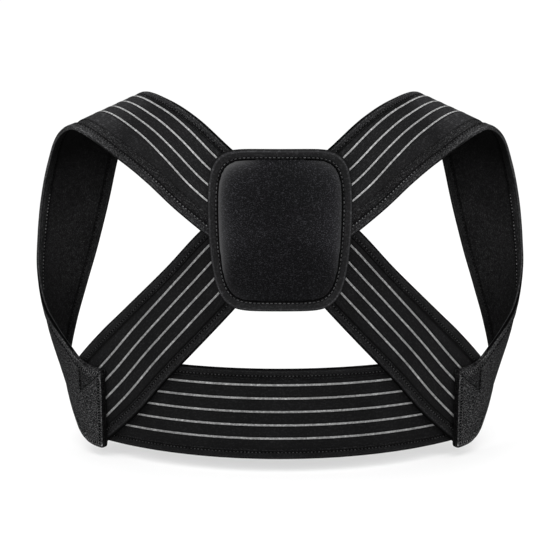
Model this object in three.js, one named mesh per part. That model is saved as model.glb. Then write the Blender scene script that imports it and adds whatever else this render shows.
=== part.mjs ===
// Posture corrector: a padded plate between the shoulder blades, two shoulder loops, two back straps
// and a waist belt. Millimetres, +Z up. The wearer faces +Y, so the back of the brace looks along -Y.
import * as THREE from 'three';

// The straps follow a rounded back: an upright cylinder whose nearest line passes through the origin.
const BACK_RADIUS = 250;

// Base strap, the webbing sewn on it, and the air left between two pieces.
const BAND_THICKNESS = 2.4;
const WEBBING_THICKNESS = 0.9;
const PIECE_GAP = 0.3;
const EDGE_ROUND = 0.9;

// Height of each layer's middle above the back: the belt lies lowest and the plate highest.
const WAIST_LIFT = 1.2;
const BACK_STRAP_LIFT = 5.1;
const PAD_LIFT = 12.3;

// Belt across the lower back.
const WAIST_TOP = -129;
const WAIST_BOTTOM = -214.5;
const WAIST_HALF_ARC = 198;
const WAIST_STEPS = 44;
const WAIST_WEBBING = { low: 0.117, high: 0.883 };

// Left back strap: its two edges as arc along the back (negative to the left) and height.
const BACK_STRAP_ROWS = [
  { upperArc: -0.6, upperZ: 62, lowerArc: -0.6, lowerZ: -30 },
  { upperArc: -70, upperZ: -3, lowerArc: -20, lowerZ: -51 },
  { upperArc: -105, upperZ: -41, lowerArc: -58, lowerZ: -94 },
  { upperArc: -150, upperZ: -84, lowerArc: -103, lowerZ: -144 },
  { upperArc: -176, upperZ: -107, lowerArc: -136, lowerZ: -182 },
  { upperArc: -209, upperZ: -140.5, lowerArc: -174, lowerZ: -215 },
];
const BACK_STRAP_STEPS = 5;
const BACK_WEBBING = { low: 0.13, high: 0.87 };

// Left shoulder loop, from the plate over the shoulder, down the front and round to the lower corner:
// its neck-side edge, its arm-side edge, and how far the middle stands out of the line between them.
const SHOULDER_ROWS = [
  { neckX: -0.6, neckY: -9.4, neckZ: 38, armX: -0.6, armY: -9.4, armZ: -58, crown: 0 },
  { neckX: -21, neckY: -8.6, neckZ: 55, armX: -47, armY: -5.1, armZ: -21, crown: 0.4 },
  { neckX: -42, neckY: -6, neckZ: 71.5, armX: -94, armY: 8.3, armZ: 15.5, crown: 1.3 },
  { neckX: -71, neckY: 6, neckZ: 96.5, armX: -120, armY: 22, armZ: 37.5, crown: 1.5 },
  { neckX: -98, neckY: 32, neckZ: 110.5, armX: -147, armY: 42, armZ: 55.5, crown: 1.5 },
  { neckX: -124, neckY: 72, neckZ: 112.5, armX: -194, armY: 78, armZ: 79, crown: 0 },
  { neckX: -141, neckY: 110, neckZ: 90, armX: -208, armY: 90, armZ: 70, crown: 1 },
  { neckX: -155, neckY: 134, neckZ: 44, armX: -218, armY: 97, armZ: 44, crown: 2 },
  { neckX: -166, neckY: 149, neckZ: 0, armX: -226, armY: 102, armZ: 8, crown: 2 },
  { neckX: -178, neckY: 157, neckZ: -44, armX: -230, armY: 104, armZ: -26, crown: 2 },
  { neckX: -190, neckY: 156, neckZ: -84, armX: -231, armY: 103, armZ: -54, crown: 3 },
  { neckX: -199.5, neckY: 146, neckZ: -118, armX: -228.5, armY: 101, armZ: -76, crown: 5.5 },
  { neckX: -205, neckY: 126, neckZ: -152, armX: -223, armY: 97, armZ: -94, crown: 6 },
  { neckX: -202, neckY: 104, neckZ: -178, armX: -213, armY: 92, armZ: -111, crown: 4 },
  { neckX: -194, neckY: 83, neckZ: -201, armX: -200, armY: 85, armZ: -128, crown: 1.5 },
  { neckX: -184, neckY: 67, neckZ: -216, armX: -185.5, armY: 68.5, armZ: -140, crown: 0 },
  { neckX: -162.7, neckY: 47.9, neckZ: -219.5, armX: -163.4, armY: 48.4, armZ: -143.5, crown: 0 },
];
const SHOULDER_STEPS = 3;
const SHOULDER_WEBBING = { low: 0.108, high: 0.773 };
const SHOULDER_WEBBING_ROWS = 9;

// Padded plate: rounded outline, widest above the middle, with a flat border around a crowned cushion.
const PAD_HALF_WIDTH = 61.5;
const PAD_HALF_HEIGHT = 73;
const PAD_CORNER_POWER = 6;
const PAD_WIDEST = 20;
const PAD_TAPER = 0.00125;
const PAD_POINTS = 64;
const BORDER_WIDTH = 9;
const BORDER_ROWS = [
  { inset: 1.2, lift: 0 },
  { inset: 0, lift: 1.6 },
  { inset: 1.2, lift: 3.2 },
  { inset: BORDER_WIDTH - 1, lift: 3.2 },
  { inset: BORDER_WIDTH, lift: 2.4 },
  { inset: BORDER_WIDTH, lift: 0 },
];
const CUSHION_EDGE = BORDER_WIDTH + PIECE_GAP;
const CUSHION_ROWS = [
  { inset: CUSHION_EDGE + 36, lift: 0 },
  { inset: CUSHION_EDGE + 18, lift: 0 },
  { inset: CUSHION_EDGE, lift: 0 },
  { inset: CUSHION_EDGE, lift: 2.2 },
  { inset: CUSHION_EDGE + 2, lift: 5.4 },
  { inset: CUSHION_EDGE + 6, lift: 7.6 },
  { inset: CUSHION_EDGE + 14, lift: 9 },
  { inset: CUSHION_EDGE + 28, lift: 9.8 },
];
const CUSHION_MIDDLE = 10;

const COLOURS = { band: 0x2b2b2d, webbing: 0x1a1a1c, binding: 0x1e1e20, cushion: 0x202024 };

// A point on the back, by arc length from the middle line, height and lift off the surface.
function onBack(arc, z, lift) {
  const angle = arc / BACK_RADIUS;
  const radius = BACK_RADIUS + lift;
  return new THREE.Vector3(radius * Math.sin(angle), BACK_RADIUS - radius * Math.cos(angle), z);
}

// A smooth line through the points picked from a table's rows: 0 is the first row and 1 the last.
function rowCurve(rows, pick) {
  const points = rows.map((row) => new THREE.Vector3(...pick(row)));
  return new THREE.CatmullRomCurve3(points, false, 'centripetal');
}

// A strap's middle surface: along runs 0 to 1 down the strap, across 0 to 1 from edge to edge.
function waistSurface(lift) {
  return (along, across) => {
    const arc = THREE.MathUtils.lerp(-WAIST_HALF_ARC, WAIST_HALF_ARC, along);
    return onBack(arc, THREE.MathUtils.lerp(WAIST_BOTTOM, WAIST_TOP, across), lift);
  };
}

function backStrapSurface(lift) {
  const upper = rowCurve(BACK_STRAP_ROWS, (row) => [row.upperArc, row.upperZ, 0]);
  const lower = rowCurve(BACK_STRAP_ROWS, (row) => [row.lowerArc, row.lowerZ, 0]);
  return (along, across) => {
    const point = upper.getPoint(along).lerp(lower.getPoint(along), across);
    return onBack(point.x, point.y, lift);
  };
}

function shoulderSurface() {
  const neck = rowCurve(SHOULDER_ROWS, (row) => [row.neckX, row.neckY, row.neckZ]);
  const arm = rowCurve(SHOULDER_ROWS, (row) => [row.armX, row.armY, row.armZ]);
  const crown = new THREE.SplineCurve(SHOULDER_ROWS.map((row, i) => new THREE.Vector2(i, row.crown)));
  const flat = (along, across) => neck.getPoint(along).lerp(arm.getPoint(along), across);
  return (along, across) => {
    const rise = crown.getPoint(along).y * 4 * across * (1 - across);
    return flat(along, across).addScaledVector(outward(flat, along, across), rise);
  };
}

// The direction a surface faces, away from the wearer.
function outward(surface, along, across) {
  const step = 0.002;
  const before = Math.max(0, along - step);
  const after = Math.min(1, along + step);
  const run = surface(after, across).sub(surface(before, across));
  const span = surface(along, 1).sub(surface(along, 0));
  return run.cross(span).normalize();
}

// A closed strap around a surface: rings of points, one per station, joined and capped at both ends.
// Stations run from the first to the last of a whole strap's steps; stops lie across it, edge to edge.
function strapGeometry(surface, { first, last, steps, stops }, thickness, raise) {
  const width = surface(0.5, 0).distanceTo(surface(0.5, 1));
  const round = EDGE_ROUND / width;
  const low = stops[0];
  const high = stops[stops.length - 1];
  const across = [low + round, ...stops.slice(1, -1), high - round];
  const section = [{ at: low, side: 0 }];
  across.forEach((at) => section.push({ at, side: 0.5 }));
  section.push({ at: high, side: 0 });
  [...across].reverse().forEach((at) => section.push({ at, side: -0.5 }));
  const count = section.length;
  const positions = [];
  for (let i = first; i <= last; i += 1) {
    const along = i / steps;
    for (const { at, side } of section) {
      const facing = outward(surface, along, at);
      const point = surface(along, at).addScaledVector(facing, raise + side * thickness);
      positions.push(point.x, point.y, point.z);
    }
  }
  const faces = [];
  for (let i = 0; i < last - first; i += 1) {
    for (let j = 0; j < count; j += 1) {
      const a = i * count + j;
      const b = i * count + ((j + 1) % count);
      if (j < count / 2) {
        faces.push(a, a + count, b + count, a, b + count, b);
      } else {
        faces.push(a, a + count, b, b, a + count, b + count);
      }
    }
  }
  const end = (last - first) * count;
  for (let j = 0; j < count / 2; j += 1) {
    const near = j;
    const far = (count - j) % count;
    const nextNear = j + 1;
    const nextFar = count - j - 1;
    if (near !== far) {
      faces.push(near, nextNear, far);
      faces.push(end + near, end + far, end + nextNear);
    }
    if (nextNear !== nextFar) {
      faces.push(nextNear, nextFar, far);
      faces.push(end + nextNear, end + far, end + nextFar);
    }
  }
  return geometryFrom(positions, faces);
}

// One ring of the plate's rounded outline, drawn in by an inset and laid on the back at a lift.
function padRing(inset, lift) {
  const halfWidth = PAD_HALF_WIDTH - inset;
  const halfHeight = PAD_HALF_HEIGHT - inset;
  const ring = [];
  for (let i = 0; i < PAD_POINTS; i += 1) {
    const angle = (i / PAD_POINTS) * 2 * Math.PI;
    const across = Math.abs(Math.cos(angle) / halfWidth) ** PAD_CORNER_POWER;
    const upright = Math.abs(Math.sin(angle) / halfHeight) ** PAD_CORNER_POWER;
    const reach = (across + upright) ** (-1 / PAD_CORNER_POWER);
    const z = reach * Math.sin(angle);
    const narrowing = 1 - (PAD_TAPER * (z - PAD_WIDEST) ** 2) / PAD_HALF_WIDTH;
    ring.push(onBack(reach * Math.cos(angle) * narrowing, z, PAD_LIFT + lift));
  }
  return ring;
}

// The border is a closed ring: its profile runs round from the back, over the front, to the back.
function borderGeometry() {
  const positions = [];
  const faces = [];
  const rows = BORDER_ROWS.length;
  for (const { inset, lift } of BORDER_ROWS) {
    padRing(inset, lift).forEach((point) => positions.push(point.x, point.y, point.z));
  }
  for (let r = 0; r < rows; r += 1) {
    joinRings(faces, r * PAD_POINTS, ((r + 1) % rows) * PAD_POINTS);
  }
  return geometryFrom(positions, faces);
}

// The cushion is a dome: rings out along its back, round its edge and up to its middle, closed by fans.
function cushionGeometry() {
  const positions = [];
  const faces = [];
  for (const { inset, lift } of CUSHION_ROWS) {
    padRing(inset, lift).forEach((point) => positions.push(point.x, point.y, point.z));
  }
  for (let r = 0; r < CUSHION_ROWS.length - 1; r += 1) {
    joinRings(faces, r * PAD_POINTS, (r + 1) * PAD_POINTS);
  }
  const back = positions.length / 3;
  const backMiddle = onBack(0, 0, PAD_LIFT);
  const frontMiddle = onBack(0, 0, PAD_LIFT + CUSHION_MIDDLE);
  positions.push(backMiddle.x, backMiddle.y, backMiddle.z, frontMiddle.x, frontMiddle.y, frontMiddle.z);
  const top = (CUSHION_ROWS.length - 1) * PAD_POINTS;
  for (let i = 0; i < PAD_POINTS; i += 1) {
    const next = (i + 1) % PAD_POINTS;
    faces.push(back, next, i);
    faces.push(back + 1, top + i, top + next);
  }
  return geometryFrom(positions, faces);
}

function joinRings(faces, first, second) {
  for (let i = 0; i < PAD_POINTS; i += 1) {
    const next = (i + 1) % PAD_POINTS;
    faces.push(first + i, first + next, second + next, first + i, second + next, second + i);
  }
}

function geometryFrom(positions, faces) {
  const geometry = new THREE.BufferGeometry();
  geometry.setAttribute('position', new THREE.Float32BufferAttribute(positions, 3));
  geometry.setIndex(faces);
  geometry.computeVertexNormals();
  return geometry;
}

// The same piece on the other side of the middle line.
function mirrored(geometry) {
  const copy = geometry.clone();
  copy.scale(-1, 1, 1);
  const faces = Array.from(copy.getIndex().array);
  for (let i = 0; i < faces.length; i += 3) {
    [faces[i + 1], faces[i + 2]] = [faces[i + 2], faces[i + 1]];
  }
  copy.setIndex(faces);
  copy.computeVertexNormals();
  return copy;
}

const corrector = new THREE.Group();
corrector.name = 'posture_corrector';

function addPiece(name, geometry, colour) {
  const material = new THREE.MeshStandardMaterial({ color: colour, roughness: 0.9, metalness: 0 });
  const mesh = new THREE.Mesh(geometry, material);
  mesh.name = name;
  corrector.add(mesh);
}

function addPair(name, geometry, colour) {
  addPiece(`left_${name}`, geometry, colour);
  addPiece(`right_${name}`, mirrored(geometry), colour);
}

// The base strap runs the whole way; its webbing stops one station short of each end, or earlier.
function addStrap(add, name, surface, steps, webbing, webbingEnd) {
  const middle = (webbing.low + webbing.high) / 2;
  const base = { first: 0, last: steps, steps, stops: [0, webbing.low, middle, webbing.high, 1] };
  add(`${name}_band`, strapGeometry(surface, base, BAND_THICKNESS, 0), COLOURS.band);
  const skin = { first: 1, last: webbingEnd, steps, stops: [webbing.low, middle, webbing.high] };
  const raise = BAND_THICKNESS / 2 + PIECE_GAP + WEBBING_THICKNESS / 2;
  add(`${name}_webbing`, strapGeometry(surface, skin, WEBBING_THICKNESS, raise), COLOURS.webbing);
}

const backSteps = (BACK_STRAP_ROWS.length - 1) * BACK_STRAP_STEPS;
const shoulderSteps = (SHOULDER_ROWS.length - 1) * SHOULDER_STEPS;
const shoulderWebbingEnd = SHOULDER_WEBBING_ROWS * SHOULDER_STEPS;
addStrap(addPiece, 'waist', waistSurface(WAIST_LIFT), WAIST_STEPS, WAIST_WEBBING, WAIST_STEPS - 1);
addStrap(addPair, 'back', backStrapSurface(BACK_STRAP_LIFT), backSteps, BACK_WEBBING, backSteps - 1);
addStrap(addPair, 'shoulder', shoulderSurface(), shoulderSteps, SHOULDER_WEBBING, shoulderWebbingEnd);

addPiece('pad_binding', borderGeometry(), COLOURS.binding);
addPiece('pad_cushion', cushionGeometry(), COLOURS.cushion);

export default corrector;
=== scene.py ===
# %% [markdown]
# # A posture corrector
# The brace is soft: a padded plate between the shoulder blades, two shoulder loops, two back straps and a
# waist belt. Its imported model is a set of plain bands. Here each band is made again as cloth, with hems,
# stitching, striped elastic and a stuffed plate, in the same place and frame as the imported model.

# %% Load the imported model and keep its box
import math
from collections import namedtuple
from functools import lru_cache, reduce

import bmesh
import bpy
from mathutils import Matrix, Vector, noise


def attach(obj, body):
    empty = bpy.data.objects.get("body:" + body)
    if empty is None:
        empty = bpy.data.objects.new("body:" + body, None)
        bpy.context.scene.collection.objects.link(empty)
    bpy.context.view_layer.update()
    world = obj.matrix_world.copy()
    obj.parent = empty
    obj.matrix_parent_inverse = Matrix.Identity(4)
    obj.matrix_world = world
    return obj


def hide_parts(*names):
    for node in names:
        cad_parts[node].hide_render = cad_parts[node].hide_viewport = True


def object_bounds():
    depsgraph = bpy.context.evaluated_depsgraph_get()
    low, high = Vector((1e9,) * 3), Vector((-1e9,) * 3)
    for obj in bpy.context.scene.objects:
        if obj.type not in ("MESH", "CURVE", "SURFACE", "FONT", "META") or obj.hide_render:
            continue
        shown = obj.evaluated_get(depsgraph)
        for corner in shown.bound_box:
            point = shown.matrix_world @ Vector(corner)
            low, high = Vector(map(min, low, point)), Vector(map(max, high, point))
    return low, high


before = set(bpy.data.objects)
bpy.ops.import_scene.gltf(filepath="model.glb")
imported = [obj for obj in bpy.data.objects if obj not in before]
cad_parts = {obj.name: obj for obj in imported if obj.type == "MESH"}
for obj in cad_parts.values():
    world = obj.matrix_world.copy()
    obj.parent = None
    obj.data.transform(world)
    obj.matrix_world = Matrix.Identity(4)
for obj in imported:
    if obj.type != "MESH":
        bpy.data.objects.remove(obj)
cad_low, cad_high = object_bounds()
scene = bpy.context.scene
MM = 0.001
print("packed pieces:", sorted(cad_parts))

# %% [markdown]
# ## The view
# The brace was photographed from behind and a little above, with a long lens, on white. A camera could be
# placed by eye. It is placed here by three numbers instead, a target, a tilt and a distance, because each
# of them can be read off the belt: its bow gives the tilt, and its place in the frame gives the rest.

# %% Camera
LOOK_AT = Vector((0.0, 0.060, -0.060))
CAMERA_TILT = math.radians(12.0)
CAMERA_DISTANCE = 1.7
CAMERA_LENS = 117.5
SENSOR_WIDTH = 36.0


def aim(thing, target):
    """Turns a camera or a light so that it looks at a point."""
    thing.rotation_euler = (target - thing.location).to_track_quat("-Z", "Y").to_euler()


camera = bpy.data.objects.new("camera", bpy.data.cameras.new("camera"))
scene.collection.objects.link(camera)
camera.data.lens = CAMERA_LENS
camera.data.sensor_width = SENSOR_WIDTH
towards_camera = Vector((0.0, -math.cos(CAMERA_TILT), math.sin(CAMERA_TILT)))
camera.location = LOOK_AT + CAMERA_DISTANCE * towards_camera
aim(camera, LOOK_AT)
scene.camera = camera
print("camera at", [round(value, 3) for value in camera.location])

# %% [markdown]
# ## Floor and light
# The background is a white sweep with a faint shadow under the belt. A white floor under a white sky gives
# that, and a wide sun shapes the black cloth from above. The floor glows a little, as a light table does,
# so the shadow stays pale. Soft lamps stand at the left, at the front and, weaker, at the right.

# %% Floor, sky and lamps
WHITE = (1.0, 1.0, 1.0, 1.0)
FLOOR_SIZE = 12.0
FLOOR_DROP = 0.008
FLOOR_LOOK = {
    "Base Color": (0.56, 0.56, 0.56, 1.0),
    "Roughness": 0.9,
    "Specular IOR Level": 0.0,
    "Emission Color": WHITE,
    "Emission Strength": 0.33,
}
SKY_STRENGTH = 0.85
SUN_STRENGTH = 1.2
SUN_ANGLE = math.radians(70.0)
SUN_FROM = Vector((-0.1, -0.25, 1.0))
LAMPS = [
    # name, place in metres, side in metres, watts
    ("lamp_left", (-1.5, -0.7, 0.7), 0.9, 9.0),
    ("lamp_front", (0.0, -1.7, 0.3), 1.2, 12.0),
    ("lamp_right", (1.5, -0.7, 0.6), 0.9, 7.0),
]


def mesh_from(bm, name):
    """Turns a bmesh into a mesh and frees it."""
    mesh = bpy.data.meshes.new(name)
    bm.to_mesh(mesh)
    bm.free()
    return mesh


floor_bm = bmesh.new()
bmesh.ops.create_grid(floor_bm, x_segments=1, y_segments=1, size=FLOOR_SIZE)
floor_mesh = mesh_from(floor_bm, "floor")
floor = bpy.data.objects.new("floor", floor_mesh)
scene.collection.objects.link(floor)
floor_mesh.transform(Matrix.Translation((0.0, 0.0, cad_low.z - FLOOR_DROP)))

floor_paint = bpy.data.materials.new("floor_paint")
floor_paint.use_nodes = True
floor_shader = floor_paint.node_tree.nodes["Principled BSDF"]
for input_name, value in FLOOR_LOOK.items():
    floor_shader.inputs[input_name].default_value = value
floor_mesh.materials.append(floor_paint)

scene.world = bpy.data.worlds.new("white_sky")
scene.world.use_nodes = True
sky = scene.world.node_tree.nodes["Background"]
sky.inputs["Color"].default_value = WHITE
sky.inputs["Strength"].default_value = SKY_STRENGTH
scene.view_settings.view_transform = "Standard"

sun_data = bpy.data.lights.new("soft_sun", "SUN")
sun_data.energy = SUN_STRENGTH
sun_data.angle = SUN_ANGLE
sun = bpy.data.objects.new("soft_sun", sun_data)
sun.location = LOOK_AT + SUN_FROM
aim(sun, LOOK_AT)
scene.collection.objects.link(sun)

for lamp_name, lamp_place, lamp_side, lamp_watts in LAMPS:
    lamp_data = bpy.data.lights.new(lamp_name, "AREA")
    lamp_data.size = lamp_side
    lamp_data.energy = lamp_watts
    lamp = bpy.data.objects.new(lamp_name, lamp_data)
    lamp.location = lamp_place
    aim(lamp, LOOK_AT)
    scene.collection.objects.link(lamp)
print("lamps:", [row[0] for row in LAMPS])

# %% [markdown]
# ## Where the straps run
# Every strap lies over one rounded back, an upright cylinder, except the loops, which leave it over the
# shoulders. A strap could be drawn as a curve with a flat section, but then its edges would follow the
# curve and not the photograph. Here each strap is ruled between its two edges: a short table holds a row
# for each section, and a smooth curve runs through each edge's column of rows. Values are millimetres.

# %% Tables of sections
BACK_RADIUS = 250.0
WAIST_LIFT = 1.2
BACK_STRAP_LIFT = 5.1
WAIST_TOP = -129.0
WAIST_BOTTOM = -214.5
WAIST_HALF_ARC = 198.0

BackStrapRow = namedtuple("BackStrapRow", "upper_arc upper_z lower_arc lower_z")
BACK_STRAP_ROWS = [
    BackStrapRow(-0.05, 62, -0.05, -30),
    BackStrapRow(-70, -2.4, -20, -51),
    BackStrapRow(-105, -40.2, -58, -94),
    BackStrapRow(-150, -83.2, -103, -144),
    BackStrapRow(-176, -106.2, -136, -182),
    BackStrapRow(-209, -136.5, -174, -215),
]

ShoulderRow = namedtuple("ShoulderRow", "neck arm crown")
SHOULDER_ROWS = [
    ShoulderRow((-0.05, -9.4, 38), (-0.05, -9.4, -58), 0),
    ShoulderRow((-21, -8.6, 55), (-47, -5.1, -21), 0.4),
    ShoulderRow((-42, -6, 71.5), (-94, 8.3, 15.5), 1.3),
    ShoulderRow((-71, 6, 96.5), (-120, 22, 37.5), 1.5),
    ShoulderRow((-98, 32, 110.5), (-147, 42, 55.5), 1.5),
    ShoulderRow((-124, 72, 112.5), (-194, 78, 79), 0),
    ShoulderRow((-141, 110, 90), (-208, 90, 70), 1),
    ShoulderRow((-155, 134, 44), (-218, 97, 44), 2),
    ShoulderRow((-166, 149, 0), (-226, 102, 8), 2),
    ShoulderRow((-178, 157, -44), (-230, 104, -26), 2),
    ShoulderRow((-190, 156, -84), (-231, 103, -54), 3),
    ShoulderRow((-199.5, 146, -118), (-228.5, 101, -76), 5.5),
    ShoulderRow((-205, 126, -152), (-223, 97, -94), 6),
    ShoulderRow((-202, 104, -178), (-213, 92, -111), 4),
    ShoulderRow((-194, 83, -201), (-200, 85, -128), 1.5),
    ShoulderRow((-184, 67, -216), (-185.5, 68.5, -140), 0),
    ShoulderRow((-162.7, 47.9, -219.5), (-163.4, 48.4, -143.5), 0),
]
print("sections:", len(BACK_STRAP_ROWS), "on a back strap,", len(SHOULDER_ROWS), "on a loop")

# %% [markdown]
# A curve through points could be a Bezier with handles set by hand. A centripetal Catmull-Rom curve needs
# no handles, passes through every row and never loops back between two rows that lie close together.


# %% Curve through rows, and the surface of each strap
def curve_point(points, place):
    """A point of the smooth curve through all the rows: place 0 is the first row and 1 the last."""
    last = len(points) - 1
    step = min(int(place * last), last - 1)
    part = place * last - step
    near = points[step]
    far = points[step + 1]
    before = points[step - 1] if step > 0 else 2 * near - far
    after = points[step + 2] if step + 2 <= last else 2 * far - near
    gap_in = (near - before).length ** 0.5
    gap = (far - near).length ** 0.5
    gap_out = (after - far).length ** 0.5
    slope_in = ((near - before) / gap_in - (far - before) / (gap_in + gap)) * gap + (far - near)
    slope_out = (far - near) + ((after - far) / gap_out - (after - near) / (gap + gap_out)) * gap
    square = 3 * (far - near) - 2 * slope_in - slope_out
    cube = 2 * (near - far) + slope_in + slope_out
    return near + slope_in * part + square * part**2 + cube * part**3


def on_back(arc, up, lift):
    """A point over the rounded back: arc length from its middle line, height, and lift off it."""
    angle = arc / BACK_RADIUS
    reach = BACK_RADIUS + lift
    return Vector((reach * math.sin(angle), BACK_RADIUS - reach * math.cos(angle), up))


def waist_place(along, across, height):
    """Belt: along runs left to right and across bottom to top, both 0 to 1."""
    arc = (2 * along - 1) * WAIST_HALF_ARC
    return on_back(arc, WAIST_BOTTOM + (WAIST_TOP - WAIST_BOTTOM) * across, WAIST_LIFT + height)


BACK_UPPER = [Vector((row.upper_arc, row.upper_z, 0)) for row in BACK_STRAP_ROWS]
BACK_LOWER = [Vector((row.lower_arc, row.lower_z, 0)) for row in BACK_STRAP_ROWS]


def back_place(along, across, height):
    """Left back strap: along runs plate to corner and across upper to lower edge."""
    spot = curve_point(BACK_UPPER, along).lerp(curve_point(BACK_LOWER, along), across)
    return on_back(spot.x, spot.y, BACK_STRAP_LIFT + height)


NECK_EDGE = [Vector(row.neck) for row in SHOULDER_ROWS]
ARM_EDGE = [Vector(row.arm) for row in SHOULDER_ROWS]
CROWNS = [Vector((index, row.crown, 0)) for index, row in enumerate(SHOULDER_ROWS)]
RUN_STEP = 0.002


@lru_cache(maxsize=None)
def shoulder_station(along):
    """Both edge points of the loop at a place along it, the run of each edge there, and the crown."""
    before = max(0.0, along - RUN_STEP)
    after = min(1.0, along + RUN_STEP)
    neck_run = curve_point(NECK_EDGE, after) - curve_point(NECK_EDGE, before)
    arm_run = curve_point(ARM_EDGE, after) - curve_point(ARM_EDGE, before)
    crown = curve_point(CROWNS, along).y
    return curve_point(NECK_EDGE, along), curve_point(ARM_EDGE, along), neck_run, arm_run, crown


def shoulder_place(along, across, height):
    """Left loop: along runs plate to corner and across neck side to arm side."""
    neck, arm, neck_run, arm_run, crown = shoulder_station(along)
    facing = neck_run.lerp(arm_run, across).cross(arm - neck).normalized()
    return neck.lerp(arm, across) + facing * (height + crown * 4 * across * (1 - across))


print("loop starts at", shoulder_place(0, 0.5, 0)[:], "and ends at", shoulder_place(1, 0.5, 0)[:])

# %% [markdown]
# ## Cloth as a bent strip
# A hemmed strap is a flat strip with a profile: thick rolled hems at both edges, a stitched line inside
# each hem, and a plain middle. It could be extruded along a curve. Here a flat grid is the strip: its rows
# are stations along the strap, its columns go once round the profile, and each point is moved to its place.
# The grid keeps the flat measures as a UV map in metres, so weave and stripes follow the cloth.

# %% Stations and profiles
Station = namedtuple("Station", "along distance")
ProfilePoint = namedtuple("ProfilePoint", "across height finish stripe")


def even_stations(place, spacing, start=0.0, end=1.0):
    """Stations at even steps of real length along the middle of a strap, in millimetres."""
    fine = 600
    alongs = [start + (end - start) * step / fine for step in range(fine + 1)]
    spots = [place(along, 0.5, 0.0) for along in alongs]
    distances = [0.0]
    for spot, following in zip(spots, spots[1:]):
        distances.append(distances[-1] + (following - spot).length)
    count = max(2, round(distances[-1] / spacing))
    stations = []
    step = 0
    for index in range(count + 1):
        wanted = distances[-1] * index / count
        while step < fine - 1 and distances[step + 1] < wanted:
            step += 1
        stretch = distances[step + 1] - distances[step]
        part = min(1.0, (wanted - distances[step]) / stretch)
        stations.append(Station(alongs[step] + (alongs[step + 1] - alongs[step]) * part, wanted))
    return stations


# Rolled hem: distance in from the edge and height over the middle of the cloth.
HEM_OUTER = [
    (0.25, 1.0),
    (0.9, 1.85),
    (2.2, 2.35),
    (3.8, 2.5),
    (5.2, 2.3),
    (6.1, 1.9),
    (6.7, 1.35),
    (7.3, 1.85),
    (8.1, 2.2),
    (8.8, 1.9),
    (9.3, 1.25),
]
HEM_INNER = [
    (0.25, 0.8),
    (0.9, 1.5),
    (2.2, 1.9),
    (3.8, 2.0),
    (5.2, 1.8),
    (6.1, 1.3),
    (6.7, 0.7),
    (7.4, 1.2),
    (9.3, 1.1),
]
STRAP_WIDTH = 77.0
BASE_HEIGHT = 1.2
MIDDLE_STEP = 6.0
HEM_MARGIN = 1.0
OUTSIDE = 0
INSIDE = 1

# How wide the hem is at the low and the high edge, on the outer face and then on the inner face.
Hems = namedtuple("Hems", "low high")
PLAIN_HEMS = (Hems(1.0, 1.0), Hems(1.0, 1.0))


def band_profile(width, hems=PLAIN_HEMS):
    """Once round a hemmed strap: out over its outer face and back along its inner face."""
    widest = HEM_OUTER[-1][0] * max(*hems[OUTSIDE], *hems[INSIDE]) + HEM_MARGIN
    count = round((width - 2 * widest) / MIDDLE_STEP)
    middle = [widest + (width - 2 * widest) * step / count for step in range(count + 1)]
    outer = [(0.0, 0.0)]
    outer += [(inset * hems[OUTSIDE].low, height) for inset, height in HEM_OUTER]
    outer += [(across, BASE_HEIGHT) for across in middle]
    outer += [(width - inset * hems[OUTSIDE].high, height) for inset, height in reversed(HEM_OUTER)]
    inner = [(width, 0.0)]
    inner += [(width - inset * hems[INSIDE].high, -height) for inset, height in HEM_INNER]
    inner += [(across, -BASE_HEIGHT) for across in reversed(middle)]
    inner += [(inset * hems[INSIDE].low, -height) for inset, height in reversed(HEM_INNER)]
    points = [ProfilePoint(across, height, OUTSIDE, None) for across, height in outer]
    points += [ProfilePoint(across, height, INSIDE, None) for across, height in inner]
    return points


WEBBING_BACK = 1.5
WEBBING_FRONT = 2.4
WEBBING_EDGE_IN = 0.3
WEBBING_EDGE_DROP = 0.2
WEBBING_BACK_IN = 0.4
STRIPE_WIDTH = 1.9
STRIPE_RISE = 0.2
STRIPE_FOOT_OUT = 0.35
STRIPE_TOP_IN = 0.2


def webbing_profile(low, high, stripe_places):
    """Once round a flat webbing with slightly raised stripes on its outer face."""
    foot = STRIPE_WIDTH / 2 + STRIPE_FOOT_OUT
    flat_top = STRIPE_WIDTH / 2 - STRIPE_TOP_IN
    top = WEBBING_FRONT + STRIPE_RISE
    flanks = [(-foot, WEBBING_FRONT), (-flat_top, top), (flat_top, top), (foot, WEBBING_FRONT)]
    middle = (WEBBING_BACK + WEBBING_FRONT) / 2
    edge = WEBBING_FRONT - WEBBING_EDGE_DROP
    points = [
        ProfilePoint(low, middle, OUTSIDE, None),
        ProfilePoint(low + WEBBING_EDGE_IN, edge, OUTSIDE, None),
    ]
    for index, stripe in enumerate(stripe_places):
        points += [ProfilePoint(stripe + off, height, OUTSIDE, index) for off, height in flanks]
    points += [
        ProfilePoint(high - WEBBING_EDGE_IN, edge, OUTSIDE, None),
        ProfilePoint(high, middle, INSIDE, None),
        ProfilePoint(high - WEBBING_BACK_IN, WEBBING_BACK, INSIDE, None),
        ProfilePoint(low + WEBBING_BACK_IN, WEBBING_BACK, INSIDE, None),
    ]
    return points


print("hemmed profile:", len(band_profile(STRAP_WIDTH)), "points round")

# %% [markdown]
# Now the flat grid is bent. A Curve modifier could do it, but it bends along one line and turns both edges
# with it. Here every point of the grid asks the strap's own function for its place. The two long edges of
# the grid then lie on each other and are merged, and the open ends are filled. A second map, named Hem,
# keeps each point's distance to the strap's end and to its nearest edge, for finishes that follow the hems.

# %% Bending the strip
MERGE_WITHIN = 1e-7
SIDES = ("left", "right")
Piece = namedtuple("Piece", "name mesh materials slot node", defaults=[None])


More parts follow.
